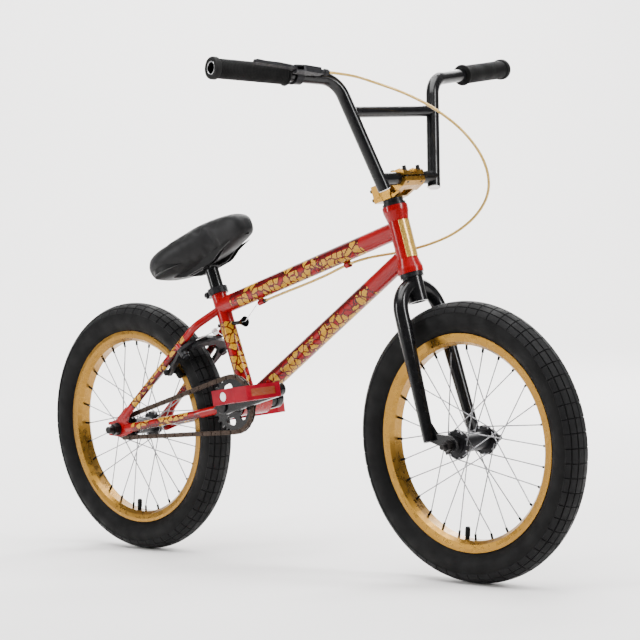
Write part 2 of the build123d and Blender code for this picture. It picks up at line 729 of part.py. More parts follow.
cap_outline = [
    (stem_reach - bar_radius - 6, stem_bar_height + 1.5),
    (stem_front, stem_bar_height + 1.5),
    (stem_front, stem_bar_height + 9),
    (stem_front - 7, stem_bar_height + 15),
    (stem_reach - bar_radius + 1, stem_bar_height + 15),
    (stem_reach - bar_radius - 6, stem_bar_height + 9),
]
stem_cap = plate(cap_outline, stem_plane, 2 * stem_half_width) - bar_bore
stem_cap = stem_cap - block((stem_reach - 30, -9, stem_bar_height + 4), (stem_reach + 30, 9, stem_bar_height + 30))
stem_bolts = []
for forward in (-bar_radius - 2.8, bar_radius + 2.8):
    for side in (-17, 17):
        low = Vector(stem_reach + forward, side, stem_bar_height - 12)
        seat = Vector(stem_reach + forward, side, stem_bar_height + 9)
        top = Vector(stem_reach + forward, side, stem_bar_height + 18)
        bolt = rod(low, seat, 2.4) + rod(seat, top, 3.4)
        socket = rod(top - Vector(0, 0, 3), top, 2.0)
        stem = stem - rod(low, seat, 2.4)
        stem_cap = stem_cap - rod(low, seat, 2.4) - rod(seat, top, 3.4)
        stem_bolts.append(bolt - socket)
for height in (clamp_base + 7, clamp_top - 7):
    for side in (-16.8, 16.8):
        tip = Vector(6, side, height)
        seat = Vector(-25, side, height)
        head = Vector(-29, side, height)
        stem = stem - rod(tip, seat, 2.2)
        stem_bolts.append(rod(tip, seat, 2.2) + rod(seat, head, 3.2))
save("stem_body", steering * stem)
save("stem_cap", steering * stem_cap)
save("stem_bolts", *[steering * bolt for bolt in stem_bolts])
steerer_cap = rod((0, 0, clamp_top), (0, 0, clamp_top + 3), 16.5)
steerer_cap = steerer_cap + rod((0, 0, clamp_top - 20), (0, 0, clamp_top), 3.0)
steerer_cap = steering * (steerer_cap + rod((0, 0, clamp_top + 3), (0, 0, clamp_top + 7), 5.5))
save("headset_spacers", crown_race, dust_cover, spacer, steerer_cap)

# ---------------------------------------------------------------- handlebar
bar_centre = steer_point(stem_reach, 0, stem_bar_height)
corner = bar_centre + Vector(*bar_corner_offset)
tip = bar_centre + Vector(*bar_end_offset)
foot_height = bar_centre.Z - bar_foot_drop
foot_share = (corner.Z - foot_height) / (corner.Z - bar_centre.Z)
foot = Vector(corner.X + (bar_centre.X - corner.X) * foot_share, bar_foot_side, foot_height)
upright_run = (corner - foot).normalized()


def upright_at(height):
    return foot + upright_run * ((height - foot.Z) / upright_run.Z)


upright_left = bent_rod([foot, corner, tip], [bar_bend_radius], bar_radius, bar_radius - bar_wall)
crossbar_height = bar_centre.Z + crossbar_rise
upright_outer = rod(foot, upright_at(crossbar_height + 25), bar_radius)
both_uprights = [upright_outer, other_side(upright_outer)]
joint_point = upright_at(bar_centre.Z)
clamp_tube = rod((bar_centre.X, -joint_point.Y, bar_centre.Z), (bar_centre.X, joint_point.Y, bar_centre.Z), bar_radius)
clamp_tube = clamp_tube - rod((bar_centre.X, -80, bar_centre.Z), (bar_centre.X, 80, bar_centre.Z), bar_radius - bar_wall)
crossbar_end = upright_at(crossbar_height)
crossbar = rod(
    (crossbar_end.X, -crossbar_end.Y, crossbar_end.Z),
    (crossbar_end.X, crossbar_end.Y, crossbar_end.Z),
    crossbar_radius,
    crossbar_radius - bar_wall,
)
for upright in both_uprights:
    clamp_tube = clamp_tube - upright
    crossbar = crossbar - upright
clamp_tube = clamp_tube.solids().sort_by(SortBy.VOLUME)[-1]
crossbar = crossbar.solids().sort_by(SortBy.VOLUME)[-1]
save("handlebar_cross_tubes", clamp_tube, crossbar)
save("handlebar_left", upright_left)
save("handlebar_right", other_side(upright_left))

grip_run = (tip - corner).normalized()


def on_grip(side_distance, side=left):
    point = corner + grip_run * ((side_distance - corner.Y) / grip_run.Y)
    return Vector(point.X, side * point.Y, point.Z)


grip_outer = tip.Y + 1.0
grip = rod(on_grip(grip_inner), on_grip(grip_outer), grip_radius)
grip = grip + rod(on_grip(grip_inner), on_grip(grip_inner + 3), grip_flange_radius)
grip = grip + rod(on_grip(grip_outer - 10), on_grip(grip_outer), grip_flange_radius)
grip = grip - rod(on_grip(grip_inner - 5), on_grip(grip_outer + 5), bar_radius)
save("grip_left", grip)
save("grip_right", other_side(grip))

# ---------------------------------------------------------------- brake lever
lever_out = Vector(grip_run.X, -grip_run.Y, grip_run.Z)
lever_reach = Vector(cos(radians(lever_elevation)), 0, sin(radians(lever_elevation)))
lever_reach = (lever_reach - lever_out * lever_reach.dot(lever_out)).normalized()
lever_plane = Plane(origin=on_grip(lever_station, right), x_dir=lever_out, z_dir=lever_out.cross(lever_reach))
lever_pivot_along = 17.0
adjuster_along = -50.0


def lever_point(along, reach, height=0.0):
    return lever_plane.from_local_coords(Vector(along, reach, height))


band = lever_plane * (rod((-7, 0, 0), (7, 0, 0), bar_radius + 3.4) - rod((-8, 0, 0), (8, 0, 0), bar_radius))
bracket_outline = [
    (-34, lever_offset - 4.5),
    (-10, lever_offset - 7),
    (8, lever_offset - 7),
    (lever_pivot_along + 2, lever_offset - 5),
    (lever_pivot_along + 6, lever_offset),
    (lever_pivot_along + 2, lever_offset + 6),
    (0, lever_offset + 8),
    (-34, lever_offset + 4.5),
]
bracket_body = plate(bracket_outline, Plane.XY.offset(-6), 12)
bracket_body = bracket_body - block((4, lever_offset - 8, -3.3), (lever_pivot_along + 20, lever_offset + 12, 3.3))
pin_hole = rod((lever_pivot_along, lever_offset, -8), (lever_pivot_along, lever_offset, 8), 2.5)
bracket_body = lever_plane * (bracket_body - pin_hole) + band
adjuster = lever_plane * (
    rod((adjuster_along, lever_offset, 0), (-34, lever_offset, 0), 4.2)
    + rod((adjuster_along + 3, lever_offset, 0), (adjuster_along + 9, lever_offset, 0), 5.4)
)
ear_reach = -bar_radius - 6.4
pivot_pin = rod((lever_pivot_along, lever_offset, -7), (lever_pivot_along, lever_offset, 7), 2.5)
band_bolt = rod((0, ear_reach, -7), (0, ear_reach, 8), 2.5)
band_ears = block((-5, ear_reach - 4, -6), (5, -bar_radius - 0.5, 6)) - band_bolt
bracket_body = bracket_body + lever_plane * band_ears
bracket_body = bracket_body - lever_plane * rod((-8, 0, 0), (8, 0, 0), bar_radius)
bracket_body = bracket_body - lever_plane * block((-8, ear_reach - 5, -1), (8, -bar_radius + 1, 1))
save("lever_bracket", bracket_body)
save("lever_fittings", adjuster, lever_plane * pivot_pin, lever_plane * band_bolt)
blade_outline = [
    (lever_pivot_along - 3, lever_offset - 4),
    (lever_pivot_along + 1.5, lever_offset - 4),
    (lever_pivot_along + 4, lever_offset - 2.4),
    (lever_pivot_along + 16, lever_offset + 1.5),
    (lever_pivot_along + 40, lever_offset + 6),
    (lever_pivot_along + 70, lever_offset + 7),
    (lever_pivot_along + 88, lever_offset + 9),
    (lever_pivot_along + 90, lever_offset + 15),
    (lever_pivot_along + 84, lever_offset + 18),
    (lever_pivot_along + 66, lever_offset + 15),
    (lever_pivot_along + 40, lever_offset + 14),
    (lever_pivot_along + 14, lever_offset + 10),
    (lever_pivot_along - 2, lever_offset + 5),
]
blade = plate(blade_outline, Plane.XY.offset(-3), 6)
blade = blade - rod((lever_pivot_along, lever_offset, -8), (lever_pivot_along, lever_offset, 8), 2.5 + running)
save("brake_lever", lever_plane * blade)

# ---------------------------------------------------------------- drivetrain
def pitch_radius(teeth):
    return chain_pitch / (2 * sin(pi / teeth))


sprocket_pitch_radius = pitch_radius(sprocket_teeth)
driver_pitch_radius = pitch_radius(driver_teeth)
to_sprocket = bracket - wheel_rear
centre_distance = to_sprocket.length
line_angle = atan2(to_sprocket.Z, to_sprocket.X)
wrap_extra = asin((sprocket_pitch_radius - driver_pitch_radius) / centre_distance)
sprocket_arc = sprocket_pitch_radius * (pi / 2 + wrap_extra)
straight_run = centre_distance * cos(wrap_extra)
driver_arc = driver_pitch_radius * (pi / 2 - wrap_extra)
half_loop = sprocket_arc + straight_run + driver_arc
link_count = 2 * round(half_loop / chain_pitch)
link_step = 2 * half_loop / link_count


def toothed_disc(teeth, tooth_phase):
    """Outline with one tooth per pitch, clear of the chain's rollers."""
    radius = pitch_radius(teeth)
    root = radius - roller_radius - 0.25
    top = radius + 2.8
    points = []
    for index in range(teeth):
        centre = tooth_phase + index * 2 * pi / teeth
        for share, reach in ((-0.25, root), (-0.08, top), (0.08, top), (0.25, root)):
            angle = centre + share * 2 * pi / teeth
            points.append((reach * cos(angle), reach * sin(angle)))
    return make_face(Polyline(*points, close=True))


def chain_point(distance):
    """Centre of a pin, by its distance along the loop from the sprocket's front."""
    side = 1 if distance >= 0 else -1
    distance = abs(distance)
    tangent = pi / 2 + wrap_extra
    if distance < sprocket_arc:
        angle = distance / sprocket_pitch_radius
        centre, radius, slide = bracket, sprocket_pitch_radius, 0.0
    elif distance < sprocket_arc + straight_run:
        angle = tangent
        centre, radius, slide = bracket, sprocket_pitch_radius, distance - sprocket_arc
    else:
        angle = tangent + (distance - sprocket_arc - straight_run) / driver_pitch_radius
        centre, radius, slide = wheel_rear, driver_pitch_radius, 0.0
    direction = line_angle + side * angle
    along = direction + side * pi / 2
    x = centre.X + radius * cos(direction) + slide * cos(along)
    z = centre.Z + radius * sin(direction) + slide * sin(along)
    return Vector(x, -chain_line, z)


disc_plane = Plane(origin=on_y(bracket, -chain_line + sprocket_thickness / 2), x_dir=(1, 0, 0), z_dir=(0, -1, 0))
sprocket_sketch = toothed_disc(sprocket_teeth, line_angle + pi / sprocket_teeth) - Circle(spindle_radius)
window_count = 5
for index in range(window_count):
    spot = Rot(0, 0, degrees(index * 2 * pi / window_count) + 40) * Pos(31, 0)
    sprocket_sketch = sprocket_sketch - spot * SlotOverall(24, 15, rotation=90)
bolt_offset = 24.0
bolt_angle = radians(crank_angle)
sprocket_sketch = sprocket_sketch - Pos(bolt_offset * cos(bolt_angle), bolt_offset * sin(bolt_angle)) * Circle(4)
save("sprocket", extrude(disc_plane * sprocket_sketch, amount=sprocket_thickness))

driver_plane = Plane(origin=on_y(wheel_rear, -chain_line + sprocket_thickness / 2), x_dir=(1, 0, 0), z_dir=(0, -1, 0))
driver_bore = rear_axle_radius + 4.0
driver_sketch = toothed_disc(driver_teeth, line_angle + pi + pi / driver_teeth) - Circle(driver_bore)
driver_teeth_ring = extrude(driver_plane * driver_sketch, amount=sprocket_thickness)
driver_inner = rear_flange_offset + hub_bearing_width / 2 + 2 * face_gap
driver_body = rod(
    on_y(wheel_rear, -driver_inner), on_y(wheel_rear, -chain_line - 3), driver_bore + 2.2, driver_bore
)
save("driver", driver_teeth_ring + driver_body)

inner_plate = 1.65
plate_thickness = 1.0
plate_step = 0.05
links = []
for index in range(link_count):
    first = chain_point((index - link_count / 2) * link_step)
    second = chain_point((index + 1 - link_count / 2) * link_step)
    middle = (first + second) * 0.5
    outer_link = index % 2 == 0
    low = inner_plate + (plate_thickness + plate_step if outer_link else 0.0)
    span = (second - first)
    for side in (left, right):
        origin = Vector(middle.X, middle.Y + side * low, middle.Z)
        plane = Plane(origin=origin, x_dir=span.normalized(), z_dir=(0, side, 0))
        slot = SlotCenterToCenter(span.length, 8.2)
        links.append(extrude(plane * slot, amount=plate_thickness))
    reach = abs(index - link_count / 2) * link_step
    clear_sprocket = reach > sprocket_arc + 30
    clear_driver = reach < sprocket_arc + straight_run - 20
    if clear_sprocket and clear_driver:
        links.append(rod(on_y(first, first.Y - inner_plate), on_y(first, first.Y + inner_plate), roller_radius))
save("chain", *links)

arm_end = crank_offset + crank_thickness
spindle = rod(on_y(bracket, -arm_end - 1), on_y(bracket, arm_end + 1), spindle_radius)
chain_side = chain_line + sprocket_thickness / 2
spacers = [
    rod(on_y(bracket, -bracket_half_width - face_gap), on_y(bracket, -chain_side + sprocket_thickness), 13.0, spindle_radius),
    rod(on_y(bracket, -chain_side), on_y(bracket, -crank_offset), 13.0, spindle_radius),
    rod(on_y(bracket, bracket_half_width + face_gap), on_y(bracket, crank_offset), 13.0, spindle_radius),
]


def crank_arm(side, angle):
    """Crank arm, pedal axle and axle bolt on one side."""
    direction = Vector(cos(radians(angle)), 0, sin(radians(angle)))
    plane = Plane(origin=on_y(bracket, side * crank_offset), x_dir=direction, z_dir=(0, side, 0))
    arm = tapered_link(16.5, 12.0, crank_length, plane, crank_thickness)
    arm = fillet(arm.edges().filter_by(GeomType.LINE), 3.0)
    eye = bracket + direction * crank_length
    bore_ends = (on_y(bracket, side * (crank_offset - 1)), on_y(bracket, side * (arm_end + 1)))
    eye_ends = (on_y(eye, side * crank_offset), on_y(eye, side * arm_end))
    arm = arm - rod(*bore_ends, spindle_radius) - rod(*eye_ends, 7.0)
    collar_end = on_y(eye, side * (arm_end + 4))
    pedal_start = arm_end + pedal_gap
    shaft_end = on_y(eye, side * (pedal_start + pedal_width - 8))
    axle = rod(*eye_ends, 7.0) + rod(eye_ends[1], collar_end, 9.5) + rod(collar_end, shaft_end, pedal_axle_radius)
    cap = rod(on_y(bracket, side * (arm_end + 1)), on_y(bracket, side * (arm_end + 4)), 12.0)
    return arm, axle, cap, eye


pedal_outline = [
    (-pedal_half_length, 0),
    (pedal_half_length, 0),
    (pedal_half_length, pedal_width - 26),
    (pedal_half_length - 7, pedal_width),
    (-pedal_half_length + 7, pedal_width),
    (-pedal_half_length, pedal_width - 26),
]


def pedal_solids():
    """Pedal body, its two reflectors and the end cap, with the axle along +Y from the origin."""
    body = plate(pedal_outline, Plane.XY.offset(-pedal_height / 2), pedal_height)
    barrel = 10.0
    rail = pedal_half_length - 9.0
    for side in (left, right):
        for low, high in ((8, pedal_width / 2 - 3), (pedal_width / 2 + 3, pedal_width - 12)):
            x_low, x_high = sorted((side * barrel, side * rail))
            window_low = (x_low, low, -pedal_height)
            body = body - block(window_low, (x_high, high, pedal_height))
    reflectors = []
    for side in (left, right):
        x_low, x_high = sorted((side * (pedal_half_length - 4), side * (pedal_half_length - 0.6)))
        pocket = block((x_low, 12, -6.5), (x_high + 1 if side == left else x_high, pedal_width - 38, 6.5))
        if side == right:
            pocket = block((-pedal_half_length - 1, 12, -6.5), (x_high, pedal_width - 38, 6.5))
        body = body - pocket
        reflectors.append(block((x_low, 12, -6.5), (x_high, pedal_width - 38, 6.5)))
    body = body - rod((0, -1, 0), (0, pedal_width - 7, 0), pedal_axle_radius + running)
    return body - rod((0, pedal_width - 2, 0), (0, pedal_width + 1, 0), 8.5), reflectors


axles = []
caps = []
pedal_body, pedal_reflectors = pedal_solids()
for side, name, angle in ((right, "right", crank_angle), (left, "left", crank_angle + 180)):
    arm, axle, cap, eye = crank_arm(side, angle)
    if side == right:
        bolt_spot = bracket + Vector(cos(bolt_angle), 0, sin(bolt_angle)) * bolt_offset
        bolt = rod(on_y(bolt_spot, -chain_side + sprocket_thickness), on_y(bolt_spot, -crank_offset), 4.0)
    save(f"crank_arm_{name}", arm)
    axles.append(axle)
    caps.append(cap)
    pedal_plane = Plane(
        origin=on_y(eye, arm_end + pedal_gap),
        x_dir=(cos(radians(pedal_pitch)), 0, sin(radians(pedal_pitch))),
        z_dir=(-sin(radians(pedal_pitch)), 0, cos(radians(pedal_pitch))),
    )
    placed = [pedal_plane * solid for solid in (pedal_body, *pedal_reflectors)]
    if side == right:
        placed = [other_side(solid) for solid in placed]
    save(f"pedal_{name}", placed[0])
    save(f"pedal_reflectors_{name}", *placed[1:])
save("pedal_axles", *axles)
save("crank_spindle", spindle, *spacers, *caps, bolt)

# ---------------------------------------------------------------- seat
post_bottom = seat_point(0, 0, seat_tube_length - seat_post_insert)
post_top = seat_point(0, 0, seat_tube_length + seat_post_reach)
post_head = seat_point(0, 0, seat_tube_length + seat_post_reach + 8)
post_pin_radius = 4.0
post = rod(post_bottom, post_top, seat_post_radius, seat_post_radius - 3)
head_block = rod(on_y(post_head, -12), on_y(post_head, 12), 11.0)
post = post + (head_block - rod(post_bottom, post_top, seat_post_radius - 3))
post = post - rod(on_y(post_head, -20), on_y(post_head, 20), post_pin_radius)
saddle_pin = rod(on_y(post_head, -22), on_y(post_head, 22), post_pin_radius)
save("seat_post", post, saddle_pin)

saddle_run = Vector(cos(radians(saddle_tilt)), 0, sin(radians(saddle_tilt)))
saddle_up = Vector(-sin(radians(saddle_tilt)), 0, cos(radians(saddle_tilt)))
saddle_plane = Plane(origin=post_head + saddle_up * 24, x_dir=saddle_run, z_dir=saddle_up)
saddle_rear = -saddle_length * 0.49
saddle_nose = saddle_rear + saddle_length
saddle_half = [
    (saddle_rear, 0),
    (saddle_rear + 6, 42),
    (saddle_rear + 40, saddle_half_width),
    (saddle_rear + 90, saddle_half_width - 13),
    (saddle_rear + 150, saddle_nose_half_width + 13),
    (saddle_nose - 45, saddle_nose_half_width + 3),
    (saddle_nose - 8, saddle_nose_half_width - 5),
    (saddle_nose, 0),
]


def saddle_planform(inset):
    """Outline of the saddle seen from above, drawn smaller by the inset."""
    points = []
    for along, half in saddle_half:
        share = (along - saddle_rear) / saddle_length
        points.append((along + inset * (1 - 2 * share), max(half - inset, 0)))
    mirrored = [(along, -half) for along, half in reversed(points[1:-1])]
    return make_face(Spline(*points, *mirrored, periodic=True))


base_thickness = 9.0
base_low = -base_thickness
base_inset = 9.0
base = extrude(saddle_plane.offset(base_low) * saddle_planform(base_inset), amount=base_thickness)
cheek_gap = 12 + face_gap
cheeks = []
for side in (left, right):
    y_low, y_high = sorted((side * cheek_gap, side * (cheek_gap + 6)))
    cheek = block((-20, y_low, -28), (20, y_high, base_low))
    cheek_hole = rod((0, y_low - 1, -24), (0, y_high + 1, -24), post_pin_radius + running)
    cheeks.append(saddle_plane * (cheek - cheek_hole))
save("saddle_base", base + cheeks[0] + cheeks[1])
pad_low = saddle_plane.offset(-saddle_skirt)
pad = extrude(pad_low * saddle_planform(0.0), amount=saddle_thickness - base_thickness + saddle_skirt)
pad = pad - extrude(pad_low * saddle_planform(base_inset - face_gap), amount=saddle_skirt)
pad = fillet(pad.edges().group_by(Axis(saddle_plane.origin, saddle_up))[-1], 13.0)
save("saddle_pad", pad)

# ---------------------------------------------------------------- rear brake
arm_thickness = 6.5


def brake_arm(side, layer):
    """Arm on the given side: pad below the pivot, cable end past the wheel's centre."""
    spread = side * brake_pivot_spread
    end = -side * 34.0
    outline = [
        (8, spread + side * 9),
        (-brake_reach - 7, spread - side * 2),
        (-brake_reach - 7, spread - side * 12),
        (-30, spread - side * 8),
        (-9, spread - side * 9),
        (9, spread - side * 15),
        (22, side * 14),
        (19, end + side * 12),
        (13, end),
        (20, end - side * 7),
        (29, end),
        (36, side * 8),
        (28, spread - side * 8),
    ]
    plane = brake_plane.offset(layer)
    arm = plate([(up, y * plane_sign) for up, y in outline], plane, arm_thickness)
    hub_ends = (brake_point(0, spread, boss_shoulder + face_gap), brake_point(0, spread, boss_length - face_gap))
    return arm + rod(*hub_ends, 8.5) - rod(*hub_ends, brake_pivot_radius + running)


plane_sign = 1 if brake_plane.y_dir.Y > 0 else -1
arm_layers = {right: 12.5, left: 20.0}
pad_height = 9.0
pad_start = rim_half_width + pad_gap
for side, name in ((right, "right"), (left, "left")):
    layer = arm_layers[side]
    arm = brake_arm(side, layer)
    stud_out = layer + arm_thickness / 2
    stud_inner = brake_point(-brake_reach, side * (pad_start + 9), stud_out)
    stud_outer = brake_point(-brake_reach, side * (brake_pivot_spread + 7), stud_out)
    stud = rod(stud_inner, stud_outer, 3.0)
    stud_nut = rod(
        brake_point(-brake_reach, side * (brake_pivot_spread + 1), stud_out),
        brake_point(-brake_reach, side * (brake_pivot_spread + 6), stud_out),
        5.5,
        3.0,
    )
    save(f"brake_arm_{name}", arm - stud)
    pad_block = Plane(origin=brake_point(-brake_reach, side * pad_start, 8), x_dir=brake_up, z_dir=(0, side, 0))
    shoe = extrude(pad_block * Rectangle(pad_height, 42), amount=9.0)
    save(f"brake_pad_{name}", shoe, stud, stud_nut)

boss_screws = []
for side in (left, right):
    start = brake_point(0, side * brake_pivot_spread, boss_length)
    boss_screws.append(rod(start, brake_point(0, side * brake_pivot_spread, boss_length + 4), 6.5))
save("seat_clamp_and_bolts", clamp, clamp_bolt, *boss_screws)

hanger_up = 52.0
hanger_out = 19.5
hanger = rod(brake_point(hanger_up, 0, hanger_out - 4), brake_point(hanger_up, 0, hanger_out + 4), 5.5)
straddle = []
for side in (left, right):
    top_point = brake_point(hanger_up - 2, side * 6, hanger_out)
    end_point = brake_point(33, side * 36, hanger_out)
    straddle.append(rod(top_point, end_point, wire_radius))
wire_line = [
    under_top_tube(stop_along + 3, stop_drop),
    under_top_tube(stop_along - 6, stop_drop),
    guide_mouth,
    guide_rear,
    brake_point(hanger_up + 5.6, 0, hanger_out),
]
inner_wire = bent_rod(wire_line, [12.0, 12.0, 5.0], wire_radius)
save("brake_wires", inner_wire, hanger, *straddle)

# ---------------------------------------------------------------- brake cable housing
# Route from the lever's adjuster, in a wide loop ahead of the bars, down the left side of
# the head tube, through the guide and into the stop under the top tube.
cable_line = [
    lever_point(adjuster_along, lever_offset),
    lever_point(adjuster_along - 45, lever_offset),
    Vector(284, -52, 844),
    Vector(306, 2, 824),
    Vector(331, 52, 794),
    Vector(356, 94, 753),
    Vector(373, 122, 703),
    Vector(372, 132, 653),
    Vector(350, 123, 613),
    Vector(316, 100, 582),
    Vector(277, 70, 564),
    Vector(234, 41, 554),
    Vector(196, 15, 549),
    under_top_tube(guide_along + 16, guide_drop, guide_side),
    under_top_tube(guide_along - 16, guide_drop, guide_side),
    Vector(98, 2, 519),
    Vector(48, 0.5, 504),
    under_top_tube(stop_along + 50, stop_drop),
    under_top_tube(stop_along + 4, stop_drop),
]


def arc_radii(points):
    """Largest radius that each corner's two runs allow."""
    radii = []
    for before, here, after in zip(points, points[1:], points[2:]):
        run_in = here - before
        run_out = after - here
        half_turn = radians(run_in.get_angle(run_out)) / 2
        radii.append(0.45 * min(run_in.length, run_out.length) / tan(half_turn))
    return radii


cable_radii = arc_radii(cable_line)
cable = bent_rod(cable_line, cable_radii, cable_radius)
cable_length = bent_path(cable_line, cable_radii).length
print("cable radii", [round(radius) for radius in cable_radii])
print("cable length", round(cable_length, 1), "volume", round(cable.volume),
      "section times length", round(pi * cable_radius ** 2 * cable_length))
save("brake_cable", cable)
save("wire_guide", wire_guide, cable_ferrule)
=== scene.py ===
import json
from math import atan2, cos, degrees, floor, pi, radians, sin

import bpy
from mathutils import Matrix, Vector


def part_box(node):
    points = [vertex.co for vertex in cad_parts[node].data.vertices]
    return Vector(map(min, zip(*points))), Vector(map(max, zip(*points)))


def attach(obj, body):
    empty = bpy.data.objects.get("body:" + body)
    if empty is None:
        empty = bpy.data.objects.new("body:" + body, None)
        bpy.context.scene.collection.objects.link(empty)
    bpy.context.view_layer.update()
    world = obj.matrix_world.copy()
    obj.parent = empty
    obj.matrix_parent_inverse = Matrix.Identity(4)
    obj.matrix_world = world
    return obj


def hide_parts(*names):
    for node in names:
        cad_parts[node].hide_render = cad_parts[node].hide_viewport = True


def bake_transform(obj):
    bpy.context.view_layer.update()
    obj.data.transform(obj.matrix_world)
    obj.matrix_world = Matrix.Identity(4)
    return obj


# BMX bicycle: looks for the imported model. Metres, X forward, Y to the rider's left, Z up.
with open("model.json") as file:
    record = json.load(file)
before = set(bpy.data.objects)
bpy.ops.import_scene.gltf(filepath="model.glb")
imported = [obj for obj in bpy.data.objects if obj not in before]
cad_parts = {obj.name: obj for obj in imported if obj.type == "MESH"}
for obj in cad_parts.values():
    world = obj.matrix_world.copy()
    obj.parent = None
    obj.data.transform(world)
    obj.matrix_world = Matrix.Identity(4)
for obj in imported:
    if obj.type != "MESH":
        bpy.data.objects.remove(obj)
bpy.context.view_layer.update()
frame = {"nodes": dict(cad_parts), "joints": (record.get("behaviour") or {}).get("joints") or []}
nodes = frame["nodes"]


# ---------------------------------------------------------------- places read from the model
def middle(node):
    low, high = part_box(node)
    return (low + high) / 2


front_wheel = middle("front_rim")
rear_wheel = middle("rear_rim")
wheels = (("front", front_wheel), ("rear", rear_wheel))
joints = {joint["name"]: joint for joint in frame["joints"]}
pedal_ends = {side: Vector(joints[f"pedal_{side}_spin"]["pos_m"]) for side in ("right", "left")}
post_head = Vector(joints["saddle_tilt"]["pos_m"])
across = Vector((0, 1, 0))

# Lines of the bar, the frame tubes and the cable, as the model's source has them.
GRIP_RUN = Vector((-0.17285, 0.981096, 0.087029))
GRIP_INNER = Vector((0.24429, 0.221, 0.85891))
GRIP_LENGTH = 0.1468
TOP_TUBE = (Vector((-0.17043, 0, 0.46492)), Vector((0.2793, 0, 0.59613)))
DOWN_TUBE = (Vector((-0.1102, 0, 0.29)), Vector((0.29159, 0, 0.55025)))
SEAT_TUBE = (Vector((-0.1102, 0, 0.29)), Vector((-0.181499, 0, 0.497069)))
SEAT_STAY = (Vector((-0.203, 0, 0.431)), Vector((-0.393, 0, 0.2625)))
CHAIN_STAY = (Vector((-0.1242, 0, 0.286)), Vector((-0.389, 0, 0.2385)))
CABLE_LINE = (
    (0.27698, -0.15383, 0.86055),
    (0.28476, -0.10968, 0.85663),
    (0.284, -0.052, 0.844),
    (0.306, 0.002, 0.824),
    (0.331, 0.052, 0.794),
    (0.356, 0.094, 0.753),
    (0.373, 0.122, 0.703),
    (0.372, 0.132, 0.653),
    (0.35, 0.123, 0.613),
    (0.316, 0.1, 0.582),
    (0.277, 0.07, 0.564),
    (0.234, 0.041, 0.554),
    (0.196, 0.015, 0.549),
    (0.16458, 0.004, 0.54131),
    (0.13386, 0.004, 0.53235),
    (0.098, 0.002, 0.519),
    (0.048, 0.0005, 0.504),
    (-0.0251, 0.0, 0.48451),
    (-0.06926, 0.0, 0.47163),
)
CABLE_DIAMETER = 0.005


# ---------------------------------------------------------------- mesh helpers
def clear_selection():
    bpy.ops.object.select_all(action="DESELECT")
    bpy.context.view_layer.objects.active = None


def begin(name):
    """Name the primitive just added and open it in edit mode."""
    piece = bpy.context.object
    piece.name = name
    piece.data.name = name
    bpy.ops.object.mode_set(mode="EDIT")
    bpy.ops.mesh.select_mode(type="VERT")
    bpy.ops.mesh.select_all(action="DESELECT")
    return piece


def pick(piece, kind, test):
    """In edit mode, select the verts, edges or faces whose centre passes the test."""
    bpy.ops.mesh.select_mode(type=kind)
    bpy.ops.mesh.select_all(action="DESELECT")
    bpy.ops.object.mode_set(mode="OBJECT")
    mesh = piece.data
    if kind == "VERT":
        for vertex in mesh.vertices:
            vertex.select = test(vertex.co)
    elif kind == "FACE":
        for face in mesh.polygons:
            face.select = test(face.center, face.normal)
    else:
        for edge in mesh.edges:
            first, second = (mesh.vertices[index].co for index in edge.vertices)
            edge.select = test(first, second)
    bpy.ops.object.mode_set(mode="EDIT")


def finish_piece(piece, angle=35.0, outward=True):
    """Close the edit, weld seams, point faces outward and put the place into the mesh."""
    bpy.ops.mesh.select_all(action="SELECT")
    bpy.ops.mesh.remove_doubles(threshold=1e-6)
    if outward:
        bpy.ops.mesh.normals_make_consistent(inside=False)
    bpy.ops.object.mode_set(mode="OBJECT")
    bpy.ops.object.transform_apply(location=True, rotation=True, scale=True)
    bpy.ops.object.shade_smooth_by_angle(angle=radians(angle))
    clear_selection()
    return piece


def lathe(name, profile, origin, axis, steps=32, angle=35.0):
    """Body of revolution: profile of (radius, distance along the axis), spun about the axis."""
    clear_selection()
    axis = axis.normalized()
    outward = axis.orthogonal().normalized()
    points = [origin + outward * radius + axis * along for radius, along in profile]
    bpy.ops.mesh.primitive_plane_add(size=0.001, location=points[0])
    bpy.ops.object.transform_apply(location=True)
    piece = begin(name)
    bpy.ops.mesh.select_all(action="SELECT")
    bpy.ops.mesh.merge(type="CENTER")
    bpy.ops.mesh.select_mode(type="VERT")
    for before, after in zip(points, points[1:]):
        bpy.ops.mesh.extrude_region_move(TRANSFORM_OT_translate={"value": after - before})
    bpy.ops.mesh.select_all(action="SELECT")
    bpy.ops.mesh.spin(steps=steps, angle=2 * pi, center=origin, axis=axis)
    return finish_piece(piece, angle)


def copy_piece(piece, name, matrix):
    """Copy with its own mesh, moved by the matrix; a mirrored copy is turned right side out."""
    copy = piece.copy()
    copy.data = piece.data.copy()
    copy.name = name
    copy.data.name = name
    bpy.context.scene.collection.objects.link(copy)
    copy.data.transform(matrix)
    if matrix.determinant() < 0:
        copy.data.flip_normals()
    return copy


def apply_modifier(piece, kind, **values):
    """Add a modifier, set its values and apply it."""
    clear_selection()
    piece.select_set(True)
    bpy.context.view_layer.objects.active = piece
    modifier = piece.modifiers.new(kind.title(), kind)
    for name, value in values.items():
        setattr(modifier, name, value)
    bpy.ops.object.modifier_apply(modifier=modifier.name)
    clear_selection()


MIRROR = Matrix.Scale(-1, 4, across)


# ---------------------------------------------------------------- finishes
TYRE_SECTION = 0.0295
TREAD_HEIGHT = 0.0016
SIDE_WALL_RADIUS = 0.2
MOULD_RING_SCALE = 3600.0
NIPPLE_START = 0.1535
TYRE_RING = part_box("front_tyre")[1].z - front_wheel.z - TYRE_SECTION


